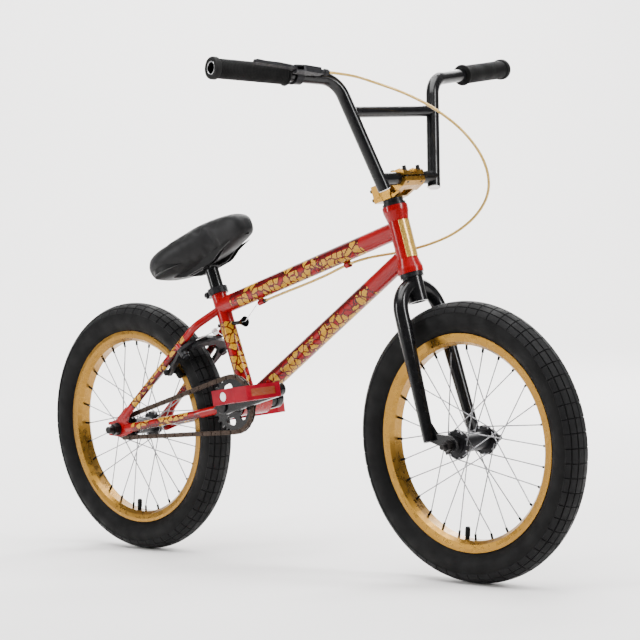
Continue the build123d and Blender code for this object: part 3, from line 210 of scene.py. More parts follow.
class Finish:
    """One material: a Principled surface with nodes read from Object coordinates."""

    def __init__(self, name, color, roughness, metallic=0.0, **sockets):
        self.material = bpy.data.materials.new(name)
        self.material.use_nodes = True
        self.tree = self.material.node_tree
        self.shader = self.tree.nodes["Principled BSDF"]
        self.shader.inputs["Base Color"].default_value = (*color, 1)
        self.shader.inputs["Roughness"].default_value = roughness
        self.shader.inputs["Metallic"].default_value = metallic
        for socket, value in sockets.items():
            self.shader.inputs[socket.replace("_", " ")].default_value = value
        self.place = self.add("ShaderNodeTexCoord").outputs["Object"]
        self.material.diffuse_color = (*color, 1)

    def add(self, kind, inputs=None, **settings):
        node = self.tree.nodes.new(kind)
        for name, value in settings.items():
            setattr(node, name, value)
        for name, value in (inputs or {}).items():
            if isinstance(value, bpy.types.NodeSocket):
                self.tree.links.new(value, node.inputs[name])
            else:
                node.inputs[name].default_value = value
        return node

    def math(self, operation, *values):
        node = self.add("ShaderNodeMath", operation=operation)
        for index, value in enumerate(values):
            if isinstance(value, bpy.types.NodeSocket):
                self.tree.links.new(value, node.inputs[index])
            else:
                node.inputs[index].default_value = value
        return node.outputs[0]

    def vector(self, operation, first, second, output="Vector"):
        node = self.add("ShaderNodeVectorMath", operation=operation)
        for index, value in enumerate((first, second)):
            if isinstance(value, bpy.types.NodeSocket):
                self.tree.links.new(value, node.inputs[index])
            else:
                node.inputs[index].default_value = value
        return node.outputs[output]

    def noise(self, scale, detail=3.0, place=None, roughness=0.5):
        inputs = {"Vector": place or self.place, "Scale": scale, "Detail": detail, "Roughness": roughness}
        return self.add("ShaderNodeTexNoise", inputs).outputs["Fac"]

    def ramp(self, factor, low, high, low_value=0.0, high_value=1.0):
        node = self.add("ShaderNodeMapRange", {"Value": factor})
        node.inputs["From Min"].default_value = low
        node.inputs["From Max"].default_value = high
        node.inputs["To Min"].default_value = low_value
        node.inputs["To Max"].default_value = high_value
        return node.outputs["Result"]

    def mix(self, factor, first, second):
        node = self.add("ShaderNodeMix", data_type="RGBA")
        for name, value in (("Factor", factor), ("A", first), ("B", second)):
            index = {"Factor": 0, "A": 6, "B": 7}[name]
            if isinstance(value, bpy.types.NodeSocket):
                self.tree.links.new(value, node.inputs[index])
            elif name == "Factor":
                node.inputs[index].default_value = value
            else:
                node.inputs[index].default_value = (*value, 1)
        return node.outputs[2]

    def feed(self, socket, value):
        self.tree.links.new(value, self.shader.inputs[socket])

    def bump(self, height, distance, strength=1.0):
        inputs = {"Height": height, "Distance": distance, "Strength": strength}
        self.feed("Normal", self.add("ShaderNodeBump", inputs).outputs["Normal"])

    def wear(self, scale, low, high):
        """Roughness that wanders between two values."""
        self.feed("Roughness", self.ramp(self.noise(scale), 0.35, 0.65, low, high))


COBBLE_SCALE = 74.0
COBBLE_WARP = 0.010
COBBLE_GAP = 0.02
COBBLE_LINE = 0.085


def candy_paint(name, run=None, span=(0.0, 1.0)):
    """Candy red lacquer; along a tube's run, gold cobble shapes with dark edges lie in the red."""
    paint = Finish(name, (0.22, 0.0002, 0.001), 0.25, 0.0, Coat_Weight=0.12, Coat_Roughness=0.03)
    paint.shader.inputs["Specular IOR Level"].default_value = 0.25
    flake = paint.noise(1800.0, 1.0)
    red = paint.mix(paint.ramp(flake, 0.4, 0.6), (0.18, 0.0001, 0.0010), (0.27, 0.0003, 0.0022))
    if run is None:
        paint.feed("Base Color", red)
        paint.wear(60.0, 0.22, 0.30)
        return paint.material
    start, end = run
    length = (end - start).length
    direction = (end - start) / length
    offset = paint.vector("SUBTRACT", paint.place, tuple(start))
    along = paint.vector("DOT_PRODUCT", offset, tuple(direction), "Value")
    share = paint.math("DIVIDE", along, length)
    wander = paint.ramp(paint.noise(26.0, 2.0), 0.3, 0.7, -0.035, 0.035)
    share = paint.math("ADD", share, wander)
    past_start = paint.math("GREATER_THAN", share, span[0])
    before_end = paint.math("LESS_THAN", share, span[1])
    inside = paint.math("MULTIPLY", past_start, before_end)
    warp = paint.add("ShaderNodeTexNoise", {"Vector": paint.place, "Scale": 55.0, "Detail": 2.0})
    push = {"Vector": warp.outputs["Color"], "Scale": COBBLE_WARP}
    pushed = paint.add("ShaderNodeVectorMath", push, operation="SCALE").outputs["Vector"]
    cells = {"Vector": paint.vector("ADD", paint.place, pushed), "Scale": COBBLE_SCALE, "Randomness": 0.8}
    edge = paint.add("ShaderNodeTexVoronoi", cells, feature="DISTANCE_TO_EDGE").outputs["Distance"]
    shade = paint.add("ShaderNodeTexVoronoi", cells, feature="F1").outputs["Color"]
    chance = paint.add("ShaderNodeSeparateColor", {"Color": shade}).outputs["Red"]
    rise = paint.vector("DOT_PRODUCT", offset, (-direction.z, 0, direction.x), "Value")
    kept = paint.math("GREATER_THAN", chance, paint.ramp(rise, 0.0, 0.006, 0.18, 0.80))
    within_line = paint.math("GREATER_THAN", edge, COBBLE_LINE)
    cobble = paint.math("MULTIPLY", paint.math("MULTIPLY", inside, kept), within_line)
    outline = paint.math("MULTIPLY", inside, paint.math("GREATER_THAN", edge, COBBLE_GAP))
    outline = paint.math("MULTIPLY", outline, paint.math("LESS_THAN", edge, COBBLE_LINE))
    upper = paint.math("MULTIPLY", inside, paint.ramp(rise, 0.001, 0.006))
    deep = paint.mix(upper, red, (0.075, 0.001, 0.002))
    dark = paint.mix(outline, deep, (0.022, 0.0006, 0.001))
    scratch = paint.math("GREATER_THAN", paint.noise(420.0, 2.0), 0.62)
    gold = paint.mix(scratch, (0.44, 0.225, 0.009), (0.16, 0.025, 0.003))
    paint.feed("Base Color", paint.mix(cobble, dark, gold))
    paint.feed("Metallic", paint.ramp(cobble, 0.0, 1.0, 0.0, 0.10))
    paint.feed("Roughness", paint.ramp(cobble, 0.0, 1.0, 0.26, 0.34))
    return paint.material


def gold_metal(name, centre=None):
    """Gold anodised aluminium; round a wheel's centre it shows fine turned rings."""
    metal = Finish(name, (0.27, 0.14, 0.022), 0.28, 0.9, Coat_Weight=0.15, Coat_Roughness=0.10)
    cloud = metal.noise(22.0, 4.0)
    gold = metal.mix(metal.ramp(cloud, 0.3, 0.7), (0.25, 0.125, 0.016), (0.28, 0.145, 0.021))
    metal.feed("Base Color", gold)
    metal.wear(90.0, 0.22, 0.36)
    if centre is None:
        metal.bump(metal.noise(900.0, 2.0), 0.00005, 0.4)
        return metal.material
    offset = metal.vector("SUBTRACT", metal.place, tuple(centre))
    flat = metal.vector("MULTIPLY", offset, (1, 0, 1))
    radius = metal.vector("LENGTH", flat, (0, 0, 0), "Value")
    rings = metal.add("ShaderNodeCombineXYZ", {"X": radius}).outputs["Vector"]
    metal.bump(metal.noise(3500.0, 2.0, rings), 0.00005, 0.2)
    return metal.material


def black_paint(name, roughness=0.24):
    """Gloss black enamel with a faint orange peel."""
    paint = Finish(name, (0.003, 0.003, 0.0035), roughness, 0.0, Coat_Weight=0.12, Coat_Roughness=0.05)
    paint.shader.inputs["Specular IOR Level"].default_value = 0.22
    cloud = paint.ramp(paint.noise(140.0, 3.0), 0.3, 0.7)
    paint.feed("Base Color", paint.mix(cloud, (0.002, 0.002, 0.0025), (0.005, 0.005, 0.0055)))
    paint.wear(30.0, roughness - 0.03, roughness + 0.04)
    paint.bump(paint.noise(650.0, 2.0), 0.00003, 0.06)
    return paint.material


def dark_metal(name, color, roughness, metallic=0.9, grain=1200.0):
    """Blackened or bare metal with grain and uneven sheen."""
    metal = Finish(name, color, roughness, metallic, Specular_IOR_Level=0.2)
    pale = tuple(min(1.0, part * 1.7) for part in color)
    metal.feed("Base Color", metal.mix(metal.ramp(metal.noise(180.0, 4.0), 0.35, 0.7), color, pale))
    metal.wear(240.0, roughness - 0.1, roughness + 0.12)
    metal.bump(metal.noise(grain, 3.0), 0.00008, 0.5)
    return metal.material


def rubber(name, color, centre=None):
    """Matte rubber; on a tyre the hollows are painted darker as painted shade, the block tops lighter as a
    painted highlight, and the side walls carry fine moulded rings.
    """
    skin = Finish(name, color, 0.62, 0.0, Specular_IOR_Level=0.12)
    dust = skin.ramp(skin.noise(65.0, 5.0), 0.35, 0.75)
    skin.feed("Base Color", skin.mix(dust, color, tuple(part * 1.25 for part in color)))
    skin.wear(35.0, 0.5, 0.72)
    height = skin.noise(2200.0, 3.0)
    if centre is not None:
        offset = skin.vector("SUBTRACT", skin.place, tuple(centre))
        flat = skin.vector("MULTIPLY", offset, (1, 0, 1))
        radius = skin.vector("LENGTH", flat, (0, 0, 0), "Value")
        sideways = skin.add("ShaderNodeSeparateXYZ", {"Vector": offset}).outputs["Y"]
        sideways = skin.math("ABSOLUTE", sideways)
        from_ring = skin.math("SUBTRACT", radius, TYRE_RING)
        ring_square = skin.math("MULTIPLY", from_ring, from_ring)
        side_square = skin.math("MULTIPLY", sideways, sideways)
        depth = skin.math("SQRT", skin.math("ADD", ring_square, side_square))
        # Painted light: the block tops get a lighter painted highlight, varied by dust; the grooves between
        # blocks get a darker painted shade (0.6 of the rubber colour).
        raised = skin.ramp(depth, TYRE_SECTION - TREAD_HEIGHT + 0.0004, TYRE_SECTION - 0.0003)
        tread = skin.mix(dust, tuple(part * 1.5 for part in color), tuple(part * 2.0 for part in color))
        skin.feed("Base Color", skin.mix(raised, tuple(part * 0.6 for part in color), tread))
        wave = skin.math("SINE", skin.math("MULTIPLY", radius, MOULD_RING_SCALE))
        low = skin.math("LESS_THAN", radius, SIDE_WALL_RADIUS)
        height = skin.math("ADD", height, skin.math("MULTIPLY", wave, low))
    skin.bump(height, 0.00012, 0.5)
    return skin.material


def plastic(name, color, roughness, grain=1500.0, **sockets):
    """Moulded plastic with a fine spark-eroded grain."""
    shell = Finish(name, color, roughness, 0.0, **sockets)
    deep = tuple(part * 0.75 for part in color)
    shell.feed("Base Color", shell.mix(shell.ramp(shell.noise(45.0, 3.0), 0.3, 0.7), color, deep))
    shell.wear(110.0, roughness - 0.06, roughness + 0.08)
    shell.bump(shell.noise(grain, 2.0), 0.00012, 0.5)
    return shell.material


def vinyl(name):
    """Black saddle cover: pebbled grain, soft sheen."""
    cover = Finish(name, (0.005, 0.005, 0.0055), 0.46, 0.0, Sheen_Weight=0.02, Specular_IOR_Level=0.16)
    pebble = cover.add("ShaderNodeTexVoronoi", {"Vector": cover.place, "Scale": 950.0}).outputs["Distance"]
    cloud = cover.ramp(cover.noise(28.0, 4.0), 0.3, 0.7)
    cover.feed("Base Color", cover.mix(cloud, (0.003, 0.003, 0.0035), (0.008, 0.008, 0.0085)))
    cover.wear(40.0, 0.40, 0.54)
    cover.bump(cover.math("SUBTRACT", cover.noise(160.0, 2.0), pebble), 0.00025, 0.45)
    return cover.material


def reflector(name, color):
    """Cube-corner reflector lens: a fine grid of raised cells under clear plastic, each cell painted darker
    away from its centre as painted shade between the cells.
    """
    lens = Finish(name, color, 0.30, 0.0, Coat_Weight=0.15, Coat_Roughness=0.05, Specular_IOR_Level=0.2)
    cells = {"Vector": lens.place, "Scale": 420.0, "Randomness": 0.0}
    grid = lens.add("ShaderNodeTexVoronoi", cells, distance="MANHATTAN").outputs["Distance"]
    # Painted shade: the lens colour falls to 0.45 of itself towards each cell's edges, standing in for shade
    # between the cube-corner cells.
    lens.feed("Base Color", lens.mix(lens.ramp(grid, 0.1, 0.8), color, tuple(part * 0.45 for part in color)))
    lens.bump(grid, 0.0006, 0.9)
    return lens.material


def spoke_steel(name, centre):
    """Bright drawn wire with black nipples at the rim."""
    steel = Finish(name, (0.20, 0.20, 0.21), 0.32, 1.0)
    offset = steel.vector("SUBTRACT", steel.place, tuple(centre))
    flat = steel.vector("MULTIPLY", offset, (1, 0, 1))
    radius = steel.vector("LENGTH", flat, (0, 0, 0), "Value")
    nipple = steel.math("GREATER_THAN", radius, NIPPLE_START)
    cloud = steel.ramp(steel.noise(300.0, 2.0), 0.3, 0.7)
    wire = steel.mix(cloud, (0.13, 0.13, 0.14), (0.30, 0.30, 0.31))
    steel.feed("Base Color", steel.mix(nipple, wire, (0.012, 0.012, 0.012)))
    steel.feed("Roughness", steel.ramp(nipple, 0.0, 1.0, 0.28, 0.45))
    return steel.material


candy = candy_paint("candy_red")
black_gloss = black_paint("black_enamel")
black_alloy = dark_metal("black_anodised", (0.008, 0.008, 0.009), 0.40, 0.3)
black_steel = dark_metal("black_oxide_steel", (0.018, 0.017, 0.017), 0.40)
gold_plain = gold_metal("gold_anodised")
bare_steel = dark_metal("bare_steel", (0.42, 0.42, 0.43), 0.30, 1.0)
chain_steel = dark_metal("oiled_chain_steel", (0.030, 0.021, 0.016), 0.34, 0.8)
wire_steel = dark_metal("bright_wire", (0.75, 0.75, 0.77), 0.35, 0.5)
grip_rubber = rubber("grip_rubber", (0.005, 0.005, 0.005))
soft_black = rubber("tube_rubber", (0.004, 0.004, 0.004))
pedal_red = plastic("pedal_red", (0.24, 0.0002, 0.010), 0.36, Specular_IOR_Level=0.14)
amber = reflector("reflector_amber", (0.36, 0.055, 0.001))
saddle_shell = plastic("saddle_shell", (0.003, 0.003, 0.0032), 0.45, Specular_IOR_Level=0.15)
saddle_cover = vinyl("saddle_vinyl")
cap_white = plastic("end_cap_white", (0.85, 0.85, 0.85), 0.35)
housing_gold = Finish("housing_gold", (0.48, 0.30, 0.06), 0.30, 0.35, Coat_Weight=0.5, Coat_Roughness=0.1)
housing_gold.wear(300.0, 0.22, 0.38)
housing_gold.bump(housing_gold.noise(1400.0, 2.0), 0.00006, 0.4)

badge_gold = Finish("gold_badge", (0.46, 0.27, 0.05), 0.26, 0.35, Coat_Weight=0.5, Coat_Roughness=0.04)
crackle = {"Vector": badge_gold.place, "Scale": 210.0, "Randomness": 1.0}
crack = badge_gold.add("ShaderNodeTexVoronoi", crackle, feature="DISTANCE_TO_EDGE").outputs["Distance"]
line_of_crack = badge_gold.math("LESS_THAN", crack, 0.05)
badge_gold.feed("Base Color", badge_gold.mix(line_of_crack, (0.50, 0.31, 0.06), (0.20, 0.085, 0.008)))
badge_gold.bump(crack, 0.0003, 0.4)

finishes = {
    "head_tube": candy,
    "top_tube": candy_paint("candy_top_tube", TOP_TUBE, (0.10, 0.84)),
    "down_tube": candy_paint("candy_down_tube", DOWN_TUBE, (0.08, 0.80)),
    "seat_tube": candy_paint("candy_seat_tube", SEAT_TUBE, (-0.2, 0.70)),
    "bottom_bracket_shell": candy,
    "seat_stays": candy_paint("candy_seat_stays", SEAT_STAY, (0.12, 0.88)),
    "chain_stays": candy_paint("candy_chain_stays", CHAIN_STAY, (0.30, 0.95)),
    "rear_dropouts": candy,
    "frame_fittings": candy,
    "head_badge": badge_gold.material,
    "frame_bearings": bare_steel,
    "wire_guide": black_gloss,
    "seat_clamp_and_bolts": black_alloy,
    "rear_axle": black_steel,
    "chain": chain_steel,
    "brake_wires": wire_steel,
    "fork_steerer": black_gloss,
    "fork_legs": black_gloss,
    "fork_dropouts": black_gloss,
    "headset_spacers": black_alloy,
    "stem_body": gold_plain,
    "stem_cap": gold_plain,
    "stem_bolts": black_steel,
    "handlebar_left": black_gloss,
    "handlebar_right": black_gloss,
    "handlebar_cross_tubes": black_gloss,
    "lever_bracket": black_alloy,
    "lever_fittings": black_alloy,
    "front_axle": black_steel,
    "brake_lever": black_alloy,
    "driver": black_steel,
    "crank_spindle": black_steel,
    "crank_arm_right": black_gloss,
    "crank_arm_left": black_gloss,
    "sprocket": black_gloss,
    "pedal_axles": black_steel,
    "pedal_right": pedal_red,
    "pedal_left": pedal_red,
    "pedal_reflectors_right": amber,
    "pedal_reflectors_left": amber,
    "brake_arm_right": black_alloy,
    "brake_arm_left": black_alloy,
    "brake_pad_right": soft_black,
    "brake_pad_left": soft_black,
    "seat_post": black_gloss,
    "saddle_base": saddle_shell,
}
for prefix, centre in wheels:
    finishes[f"{prefix}_rim"] = gold_metal(f"gold_{prefix}_rim", centre)
    finishes[f"{prefix}_hub"] = black_alloy
    finishes[f"{prefix}_spokes"] = spoke_steel(f"{prefix}_spoke_steel", centre)
    finishes[f"{prefix}_inner_tube"] = soft_black
for node, material in finishes.items():
    for material_slot in nodes[node].material_slots:
        material_slot.material = material


def dress(piece, material, body, replaces=()):
    """Give a finished piece its material, its body and the nodes it stands for."""
    piece.data.materials.clear()
    piece.data.materials.append(material)
    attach(piece, body)
    if replaces:
        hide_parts(*replaces)
    return piece


# ---------------------------------------------------------------- tyres
TREAD_GROOVE = 0.0012
TYRE_STEPS = 120
SECTION_STEPS = 32
ROW_DEGREES = 22.5
BLOCK_DEGREES = 6.0
TREAD_ROWS = 3
RIM_FLANGE = 0.1843
BEAD_HALF_WIDTH = 0.0146
BEAD_FOOT = 0.1782


def tyre(name, centre):
    """Carcass ring with rows of raised tread blocks, tucked into the rim at its beads."""
    clear_selection()
    ring = TYRE_RING
    bpy.ops.mesh.primitive_torus_add(
        major_segments=TYRE_STEPS,
        minor_segments=SECTION_STEPS,
        major_radius=ring,
        minor_radius=TYRE_SECTION - TREAD_HEIGHT,
        location=centre,
        rotation=(pi / 2, 0, 0),
    )
    bpy.ops.object.transform_apply(location=True, rotation=True)
    piece = begin(f"{name}_treaded")

    def radius_of(point):
        return Vector((point.x - centre.x, 0, point.z - centre.z)).length

    pick(piece, "VERT", lambda co: radius_of(co) < RIM_FLANGE)
    bpy.ops.object.mode_set(mode="OBJECT")
    for vertex in piece.data.vertices:
        if vertex.select:
            flat = Vector((vertex.co.x - centre.x, 0, vertex.co.z - centre.z))
            flat = flat.normalized() * max(BEAD_FOOT, min(flat.length, RIM_FLANGE))
            side = max(-BEAD_HALF_WIDTH, min(vertex.co.y, BEAD_HALF_WIDTH))
            vertex.co = Vector((centre.x + flat.x, side, centre.z + flat.z))
    bpy.ops.object.mode_set(mode="EDIT")

    def block_of(point):
        """Row across the section and place round the ring, counted in tread blocks."""
        section = degrees(atan2(point.y, radius_of(point) - ring))
        turn = degrees(atan2(point.z - centre.z, point.x - centre.x)) % 360
        return floor(section / ROW_DEGREES), floor(turn / BLOCK_DEGREES)

    def is_block(point, row_parity, turn_parity):
        row, turn = block_of(point)
        return -TREAD_ROWS <= row < TREAD_ROWS and row % 2 == row_parity and turn % 2 == turn_parity

    for row_parity in (0, 1):
        for turn_parity in (0, 1):
            pick(piece, "FACE", lambda co, normal: is_block(co, row_parity, turn_parity))
            bpy.ops.mesh.inset(thickness=TREAD_GROOVE, depth=TREAD_HEIGHT, use_even_offset=True)
    return finish_piece(piece, 38.0)


for prefix, centre in wheels:
    ring = tyre(f"{prefix}_tyre", centre)
    skin = rubber(f"{prefix}_tyre_rubber", (0.0032, 0.0032, 0.0034), centre)
    dress(ring, skin, f"{prefix}_wheel", [f"{prefix}_tyre"])

# ---------------------------------------------------------------- valve caps
VALVE_ANGLE = radians(-96.4)
VALVE_END = 0.1446
valve_out = Vector((cos(VALVE_ANGLE), 0, sin(VALVE_ANGLE)))
cap_profile = [(0, -0.0012), (0.0032, -0.0010), (0.0040, 0.0002), (0.0040, 0.0016)]
for rib in range(6):
    low = 0.0022 + rib * 0.0018
    cap_profile += [(0.0046, low), (0.0046, low + 0.0009), (0.0043, low + 0.0011), (0.0043, low + 0.0017)]
cap_profile += [(0.0048, 0.0130), (0.0048, 0.0142), (0, 0.0142)]
for prefix, centre in wheels:
    cap = lathe(f"{prefix}_valve_cap", cap_profile, centre + valve_out * VALVE_END, valve_out, 20)
    dress(cap, soft_black, f"{prefix}_wheel")

# ---------------------------------------------------------------- grips and bar ends
GRIP_BORE = 0.0112
GRIP_FLANGE = 0.0186
GRIP_LOW, GRIP_HIGH = 0.0154, 0.0163
RIB_PITCH = 0.0028
RIB_START = 0.0050
RIB_COUNT = 46
BAR_EDGE_SINK = 0.0011
grip_profile = [(GRIP_BORE, 0), (GRIP_FLANGE - 0.0008, 0), (GRIP_FLANGE, 0.0008), (GRIP_FLANGE, 0.0024)]
grip_profile += [(GRIP_LOW, 0.0034)]
for rib in range(RIB_COUNT):
    low = RIB_START + rib * RIB_PITCH
    grip_profile += [(GRIP_LOW, low), (GRIP_HIGH, low + 0.0004)]
    grip_profile += [(GRIP_HIGH, low + 0.0016), (GRIP_LOW, low + 0.0020)]
grip_profile += [
    (GRIP_LOW, 0.1352),
    (GRIP_FLANGE - 0.0006, 0.1362),
    (GRIP_FLANGE, 0.1375),
    (GRIP_FLANGE, 0.1440),
    (GRIP_FLANGE - 0.0009, 0.1460),
    (GRIP_FLANGE - 0.0030, GRIP_LENGTH),
    (GRIP_BORE + 0.0010, GRIP_LENGTH),
    (GRIP_BORE, GRIP_LENGTH - 0.0008),
    (GRIP_BORE, 0),
]
edge_profile = [(0.0096, -0.0012), (0.0111, -0.0012), (0.0111, 0.0001), (0.0107, 0.0005), (0.0099, 0.0005)]
edge_profile += [(0.0096, 0.0001), (0.0096, -0.0012)]
edge_place = GRIP_INNER + GRIP_RUN * (GRIP_LENGTH - BAR_EDGE_SINK)
grip_left = lathe("grip_left_ribbed", grip_profile, GRIP_INNER, GRIP_RUN, 40)
edge_left = lathe("bar_end_left", edge_profile, edge_place, GRIP_RUN, 40)
grip_right = copy_piece(grip_left, "grip_right_ribbed", MIRROR)
edge_right = copy_piece(edge_left, "bar_end_right", MIRROR)
for side, sleeve, mouth in (("right", grip_right, edge_right), ("left", grip_left, edge_left)):
    dress(sleeve, grip_rubber, "steering", [f"grip_{side}"])
    dress(mouth, bare_steel, "steering")

# ---------------------------------------------------------------- plugs in the feet of the bar
BAR_FOOT = Vector((0.305066, 0.0625, 0.6637))
BAR_FOOT_RUN = Vector((0.215531, -0.290267, -0.932358))
plug_profile = [(0, -0.006), (0.0092, -0.006), (0.0092, 0.0001), (0.0104, 0.0001), (0.0104, 0.0009)]
plug_profile += [(0.0098, 0.0014), (0.0060, 0.0016), (0, 0.0013)]
plug_left = lathe("bar_plug_left", plug_profile, BAR_FOOT, BAR_FOOT_RUN, 32)
plug_right = copy_piece(plug_left, "bar_plug_right", MIRROR)
for plug in (plug_left, plug_right):
    dress(plug, cap_white, "steering")

# ---------------------------------------------------------------- pedal end caps
PEDAL_FACE = 0.1991
disc_profile = [(0, 0.0016), (0.0050, 0.0015), (0.0072, 0.0010), (0.0082, 0.0003), (0.0082, 0), (0, 0)]
for side, sign in (("right", -1), ("left", 1)):
    eye = pedal_ends[side]
    face = Vector((eye.x, sign * PEDAL_FACE, eye.z))
    disc = lathe(f"pedal_cap_{side}", disc_profile, face, across * sign, 32)
    dress(disc, cap_white, f"pedal_{side}")

# ---------------------------------------------------------------- saddle cover
SADDLE_TILT = radians(20.0)
SADDLE_RISE = 0.024
STATIONS = (
    (-0.119, 0.032, -0.004, 0.020),
    (-0.110, 0.053, -0.016, 0.030),
    (-0.092, 0.066, -0.019, 0.035),
    (-0.055, 0.069, -0.018, 0.040),
    (-0.008, 0.057, -0.017, 0.043),
    (0.032, 0.042, -0.016, 0.043),
    (0.068, 0.031, -0.015, 0.042),
    (0.098, 0.026, -0.014, 0.040),
    (0.117, 0.021, -0.010, 0.033),
    (0.127, 0.012, -0.002, 0.022),
)
SWELL_LIMIT = 0.007
SWELL_VOXEL = 0.005
SWELL_PRESSURE = 4.0
SWELL_FRAMES = 20
SQUARENESS = 0.42


def saddle_shape(name):
    """Closed form through the stations: (along, half width, low, high) in the saddle's own frame."""
    clear_selection()
    first = STATIONS[0]
    bpy.ops.mesh.primitive_circle_add(vertices=16, radius=1.0, fill_type="NGON", rotation=(0, pi / 2, 0))
    bpy.ops.object.transform_apply(rotation=True)
    piece = begin(name)
    bpy.ops.mesh.select_all(action="SELECT")
    bpy.ops.transform.resize(value=(1, first[1], (first[3] - first[2]) / 2))
    bpy.ops.transform.translate(value=(first[0], 0, (first[3] + first[2]) / 2))
    for before, after in zip(STATIONS, STATIONS[1:]):
        rise = (after[3] + after[2] - before[3] - before[2]) / 2
        move = (after[0] - before[0], 0, rise)
        bpy.ops.mesh.extrude_region_move(TRANSFORM_OT_translate={"value": move})
        wide = after[1] / before[1]
        tall = (after[3] - after[2]) / (before[3] - before[2])
        centre = (after[0], 0, (after[3] + after[2]) / 2)
        bpy.ops.transform.resize(value=(1, wide, tall), center_override=centre)
    return piece


def square_up(piece):
    """Fill the oval sections out towards a flat-sided pad with a crowned top."""
    for vertex in piece.data.vertices:
        along = min(max(vertex.co.x, STATIONS[0][0]), STATIONS[-1][0])
        for before, after in zip(STATIONS, STATIONS[1:]):
            if before[0] <= along <= after[0]:
                share = (along - before[0]) / (after[0] - before[0])
                half, low, high = (a + (b - a) * share for a, b in zip(before[1:], after[1:]))
        side = vertex.co.y / half
        up = (vertex.co.z - (low + high) / 2) / ((high - low) / 2)
        reach = max(abs(side), abs(up), 1e-6)
        size = min(1.0, (side * side + up * up) ** 0.5)
        fuller = 1 + SQUARENESS * (size / reach - 1)
        vertex.co.y = side * fuller * half
        vertex.co.z = (low + high) / 2 + up * fuller * (high - low) / 2


def swell(piece):
    """Cloth under light pressure, each point kept within a short way of where it began."""
    apply_modifier(piece, "REMESH", mode="VOXEL", voxel_size=SWELL_VOXEL)
    start = [vertex.co.copy() for vertex in piece.data.vertices]
    cloth = piece.modifiers.new("Cloth", "CLOTH")
    cloth.settings.use_pressure = True
    cloth.settings.uniform_pressure_force = SWELL_PRESSURE
    cloth.settings.effector_weights.gravity = 0.0
    scene = bpy.context.scene
    for step in range(1, SWELL_FRAMES + 1):
        scene.frame_set(step)
    graph = bpy.context.evaluated_depsgraph_get()
    puffed = piece.evaluated_get(graph)
    ends = [vertex.co.copy() for vertex in puffed.data.vertices]
    piece.modifiers.remove(cloth)
    for vertex, begun, ended in zip(piece.data.vertices, start, ends):
        step = ended - begun
        if step.length > SWELL_LIMIT:
            step = step.normalized() * SWELL_LIMIT
        vertex.co = begun + step
    scene.frame_set(1)
    apply_modifier(piece, "SUBSURF", levels=1, render_levels=1)


cover = saddle_shape("saddle_cover")
bpy.ops.mesh.select_all(action="SELECT")
bpy.ops.mesh.normals_make_consistent(inside=False)
bpy.ops.object.mode_set(mode="OBJECT")
apply_modifier(cover, "SUBSURF", levels=2, render_levels=2)
square_up(cover)
swell(cover)
saddle_up = Vector((-sin(SADDLE_TILT), 0, cos(SADDLE_TILT)))
seat_turn = Matrix.Rotation(-SADDLE_TILT, 4, across)
seat_place = Matrix.Translation(post_head + saddle_up * SADDLE_RISE) @ seat_turn
cover.data.transform(seat_place)
for face in cover.data.polygons:
    face.use_smooth = True
dress(cover, saddle_cover, "saddle", ["saddle_pad"])

RIB_OUTLINE = (
    (-0.088, -0.0125),
    (-0.074, -0.0200),
    (-0.058, -0.0255),
    (-0.040, -0.0290),
    (0.026, -0.0290),
    (0.036, -0.0272),
    (0.046, -0.0232),
    (0.056, -0.0185),
    (0.070, -0.0150),
    (0.092, -0.0105),
)
RIB_PLACES = (-0.0265, -0.0165, 0.0140, 0.0240)
RIB_WIDTH = 0.0025


def saddle_rib(name, side):
    """Curved plate under the shell, drawn in the saddle's own frame."""
    clear_selection()
    count = len(RIB_OUTLINE)
    bpy.ops.mesh.primitive_circle_add(vertices=count, radius=0.02, fill_type="NGON", rotation=(pi / 2, 0, 0))
    bpy.ops.object.transform_apply(rotation=True)
    rib = bpy.context.object
    for vertex, (along, up) in zip(rib.data.vertices, RIB_OUTLINE):
        vertex.co = (along, side, up)
    begin(name)
    bpy.ops.mesh.select_all(action="SELECT")
    bpy.ops.mesh.extrude_region_move(TRANSFORM_OT_translate={"value": (0, RIB_WIDTH, 0)})
    finish_piece(rib)
    apply_modifier(rib, "BEVEL", width=0.0005, segments=2)
    rib.data.transform(seat_place)
    return rib


for number, side in enumerate(RIB_PLACES):
    dress(saddle_rib(f"saddle_rib_{number + 1}", side), saddle_shell, "saddle")

# ---------------------------------------------------------------- brake housing
def centreline(curve_object):
    """Points along a curve's own smooth line."""
    graph = bpy.context.evaluated_depsgraph_get()
    mesh = bpy.data.meshes.new_from_object(curve_object.evaluated_get(graph))
    points = [vertex.co.copy() for vertex in mesh.vertices]
    bpy.data.meshes.remove(mesh)
    return points


line = bpy.data.curves.new("brake_housing", "CURVE")
line.dimensions = "3D"
line.resolution_u = 14
spline = line.splines.new("NURBS")
spline.points.add(len(CABLE_LINE) - 1)
for point, place in zip(spline.points, CABLE_LINE):
    point.co = (*place, 1)
spline.order_u = 3
spline.use_endpoint_u = True
housing = bpy.data.objects.new("brake_housing", line)
bpy.context.scene.collection.objects.link(housing)
housing_path = centreline(housing)
line.bevel_depth = CABLE_DIAMETER / 2
line.bevel_resolution = 3
line.use_fill_caps = True
clear_selection()
housing.select_set(True)
bpy.context.view_layer.objects.active = housing
bpy.ops.object.convert(target="MESH")
housing = bpy.context.object
for face in housing.data.polygons:
    face.use_smooth = True
housing.data.materials.clear()
housing.data.materials.append(housing_gold.material)
clear_selection()
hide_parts("brake_cable")
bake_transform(housing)

# ---------------------------------------------------------------- studio
CAMERA_PLACE = Vector((2.8971, -2.8856, 0.6610))
CAMERA_TARGET = Vector((0.0781, 0, 0.44026))
CAMERA_ROLL = radians(-2.937)

